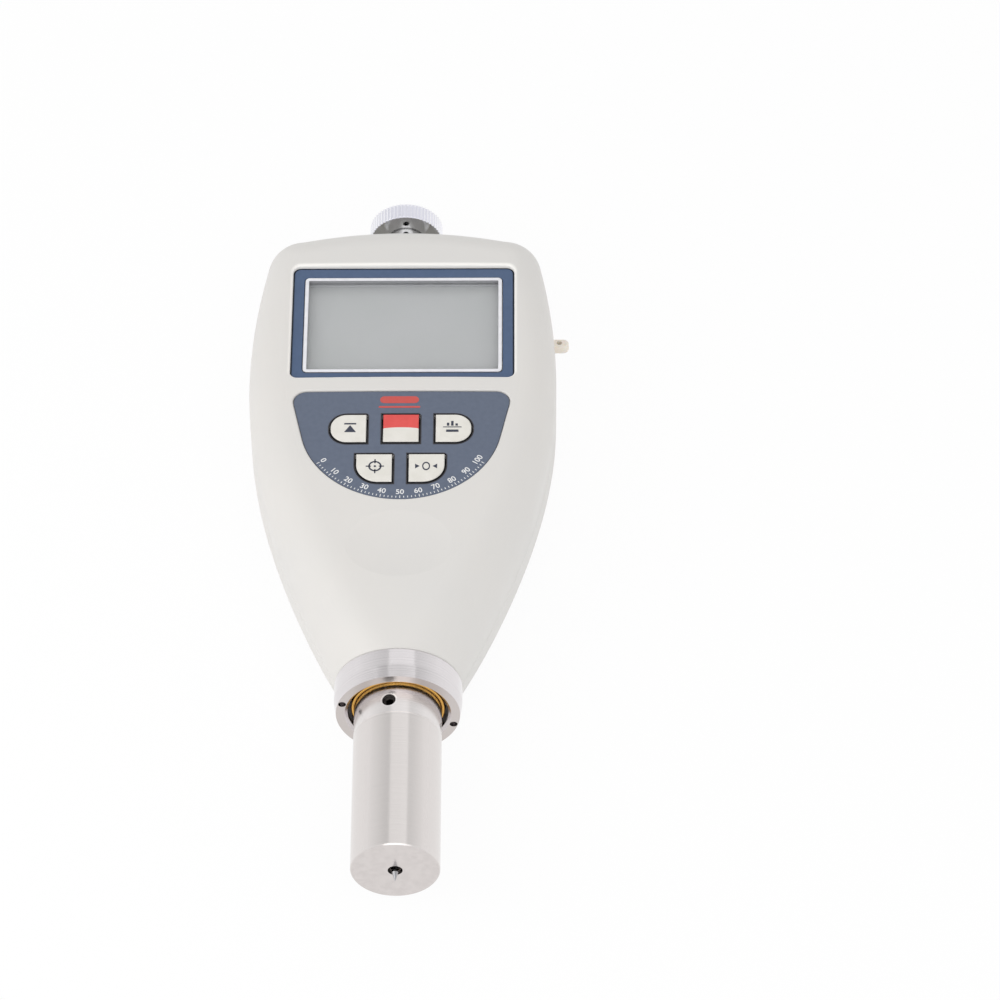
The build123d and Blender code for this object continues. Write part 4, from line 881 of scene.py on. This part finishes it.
def calibrate_mark():
    """Target: ring with a cross."""
    arm_middle = 1.35
    arm_length = 1.1
    arm_width = 0.26
    dot = 0.5
    x, y = key_middle("key_calibrate", right=0.2, up=0.35)
    polygons = ring_outlines(x, y, radius=1.4, line=0.34)
    ends = (-arm_middle, arm_middle)
    polygons += [box_outline(x + end, y, arm_length, arm_width) for end in ends]
    polygons += [box_outline(x, y + end, arm_width, arm_length) for end in ends]
    key_print("key_calibrate", polygons + [bar_outline(x, y, dot, dot)])


def zero_mark():
    """Nought between two arrow heads: set to nought."""
    arrow_foot = 2.3
    arrow_tip = 1.35
    arrow_half = 0.62
    x, y = key_middle("key_zero", right=-0.1, up=0.35)
    polygons = ring_outlines(x, y, radius=1.15, line=0.34, squeeze=0.72)
    for side in (-1, 1):
        foot = x + side * arrow_foot
        polygons.append([(foot, y + arrow_half), (foot, y - arrow_half), (x + side * arrow_tip, y)])
    key_print("key_zero", polygons)


def overlay_height(x):
    """Height of the keypad's crowned surface at x."""
    return OVERLAY_HIGH.z - CROWN_RADIUS + math.sqrt(CROWN_RADIUS**2 - x**2)


def number_polygons(text):
    """Outlines of a number's filled faces, centred on the origin, from Blender's own font."""
    curve = bpy.data.curves.new("number", "FONT")
    curve.body = text
    curve.align_x = "CENTER"
    curve.align_y = "CENTER"
    curve.size = NUMBER_HEIGHT / FONT_DIGIT_SHARE
    curve.offset = NUMBER_BOLDNESS
    letter = bpy.data.objects.new("number", curve)
    bpy.context.scene.collection.objects.link(letter)
    bpy.context.view_layer.update()
    mesh = letter.to_mesh()
    outlines = [[tuple(mesh.vertices[i].co.xy) for i in face.vertices] for face in mesh.polygons]
    letter.to_mesh_clear()
    bpy.data.objects.remove(letter)
    bpy.data.curves.remove(curve)
    return outlines


def on_arc(polygon, angle, radius):
    """Flat outline moved onto the arc, with its top towards the arc's centre."""
    sine, cosine = math.sin(angle), math.cos(angle)
    points = []
    for across, up in polygon:
        inward = radius - up
        x = across * cosine + inward * sine
        points.append((x, ARC_CENTRE_Y + across * sine - inward * cosine))
    return points


def hardness_scale():
    """Plain scale of 0 to 100 along the round edge of the keypad."""
    polygons = []
    for value in range(0, SCALE_TOP + 1, TICK_STEP):
        angle = math.radians(SCALE_SPAN * (2 * value / SCALE_TOP - 1))
        numbered = value % NUMBER_STEP == 0
        length = LONG_TICK_LENGTH if numbered else TICK_LENGTH
        polygons.append(on_arc(box_outline(0, 0, TICK_WIDTH, length), angle, TICK_RADIUS))
        if numbered:
            polygons += [on_arc(figure, angle, NUMBER_RADIUS) for figure in number_polygons(str(value))]
    print_piece("scale_print", polygons, overlay_height, "housing", ink_white)


def accent_print():
    """Plain red bar over a thin line, above the power key."""
    y = OVERLAY_HIGH.y - ACCENT_BELOW_EDGE
    bars = [
        bar_outline(ACCENT_X, y, ACCENT_WIDTH, ACCENT_HEIGHT),
        bar_outline(ACCENT_X, y - ACCENT_LINE_GAP, ACCENT_LINE_WIDTH, ACCENT_LINE_HEIGHT),
    ]
    print_piece("accent_print", bars, overlay_height, "housing", ink_red)


def key_frame(node):
    """Dark line round a key, painted shade of the gap round it: quads between two outlines that follow
    the key's own.
    """
    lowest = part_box(node)[1].z - KEY_RIM_DEPTH * MM
    points = [vertex.co.xy / MM for vertex in nodes[node].data.vertices if vertex.co.z > lowest]
    rim = [points[i] for i in convex_hull_2d(points)]
    loops = []
    for grow in (KEY_LINE_START, KEY_LINE_START + KEY_LINE_WIDTH):
        loop = []
        for i, point in enumerate(rim):
            before = (point - rim[i - 1]).normalized()
            after = (rim[(i + 1) % len(rim)] - point).normalized()
            outward = Vector((before.y + after.y, -before.x - after.x))
            loop.append(point + outward * grow / (1 + before.dot(after)))
        loops.append(loop)
    inner, outer = loops
    return [[inner[i - 1], outer[i - 1], outer[i], inner[i]] for i in range(len(rim))]


def key_frames():
    """Dark lines on the film round the five keys: painted shade of the gaps round them."""
    polygons = [quad for node in KEY_NODES for quad in key_frame(node)]
    print_piece("key_gap_shade_print", polygons, overlay_height, "housing", gap_shade_ink)


peak_mark()
mean_mark()
calibrate_mark()
zero_mark()
hardness_scale()
accent_print()
key_frames()
seal_ring()
spring_coil()


# Floor, light and camera
def floor():
    """Wide pale floor that rises behind. It shows white to the camera and in reflections."""
    reach = 3000.0
    back = 1500.0
    rise = 600.0
    gap = 0.05
    glow_share = 0.93
    mesh = bpy.data.meshes.new("floor")
    rows = [(-reach, -gap), (back, -gap), (back, rise)]
    corners = [(x * MM, y * MM, z * MM) for y, z in rows for x in (-reach, reach)]
    mesh.from_pydata(corners, [], [(0, 1, 3, 2), (2, 3, 5, 4)])
    plane = bpy.data.objects.new("floor", mesh)
    bpy.context.scene.collection.objects.link(plane)
    finish = Finish("floor_paper", (0.95, 0.95, 0.95, 1))
    finish.set("Roughness", 0.9)
    path = finish.node("LightPath").outputs
    seen = finish.math("MAXIMUM", path["Is Camera Ray"], path["Is Glossy Ray"])
    seen = finish.math("MAXIMUM", seen, path["Is Transmission Ray"])
    glow = finish.node("Emission").outputs["Emission"]
    finish.mix_shaders(finish.math("MULTIPLY", seen, glow_share), finish.shader.outputs["BSDF"], glow)
    finish.bump(finish.noise(3), depth=0.01)
    mesh.materials.append(finish.material)


def world_light(horizon, overhead):
    """Studio dome, bright at the horizon and greyer overhead, and white where the camera sees it."""
    world = bpy.data.worlds.new("studio")
    bpy.context.scene.world = world
    world.use_nodes = True
    tree = world.node_tree
    background = tree.nodes["Background"]
    background.inputs["Color"].default_value = (1, 1, 1, 1)
    direction = tree.nodes.new("ShaderNodeSeparateXYZ")
    tree.links.new(tree.nodes.new("ShaderNodeTexCoord").outputs["Generated"], direction.inputs[0])
    square = tree.nodes.new("ShaderNodeMath")
    square.operation = "POWER"
    square.inputs[1].default_value = 2.0
    tree.links.new(direction.outputs["Z"], square.inputs[0])
    dome = tree.nodes.new("ShaderNodeMapRange")
    dome.inputs["To Min"].default_value = horizon
    dome.inputs["To Max"].default_value = overhead
    tree.links.new(square.outputs[0], dome.inputs["Value"])
    level = tree.nodes.new("ShaderNodeMapRange")
    level.inputs["To Max"].default_value = 1.0
    tree.links.new(dome.outputs["Result"], level.inputs["To Min"])
    path = tree.nodes.new("ShaderNodeLightPath")
    tree.links.new(path.outputs["Is Camera Ray"], level.inputs["Value"])
    tree.links.new(level.outputs["Result"], background.inputs["Strength"])


def softbox(name, place, target, width, height, power):
    """Rectangular studio light aimed at a point. Places are in millimetres, power is in watts."""
    light = bpy.data.lights.new(name, "AREA")
    light.shape = "RECTANGLE"
    light.size = width * MM
    light.size_y = height * MM
    light.energy = power
    lamp = bpy.data.objects.new(name, light)
    lamp.location = Vector(place) * MM
    aim = (Vector(target) - Vector(place)).normalized()
    lamp.rotation_euler = aim.to_track_quat("-Z", "Y").to_euler()
    bpy.context.scene.collection.objects.link(lamp)


def camera():
    """Camera with the place, turn and lens fitted to the photograph."""
    lens = bpy.data.cameras.new("camera")
    lens.sensor_width = SENSOR_WIDTH
    lens.lens = FOCAL_PIXELS * SENSOR_WIDTH / IMAGE_SIZE
    lens.clip_end = CAMERA_REACH * MM
    view = bpy.data.objects.new("camera", lens)
    view.location = Vector(CAMERA_PLACE) * MM
    view.rotation_euler = [math.radians(angle) for angle in CAMERA_TURN]
    bpy.context.scene.collection.objects.link(view)
    bpy.context.scene.camera = view


floor()
world_light(horizon=0.97, overhead=0.52)
softbox("ceiling_panel", (100, 475, 715), (100, 475, 0), width=600, height=660, power=0.36)
softbox("key_light", (-300, -120, 270), CASE_MIDDLE, width=360, height=360, power=0.34)
softbox("front_panel", (60, -520, 560), CASE_MIDDLE, width=700, height=500, power=1.12)
camera()
bpy.context.scene.view_settings.view_transform = "Standard"
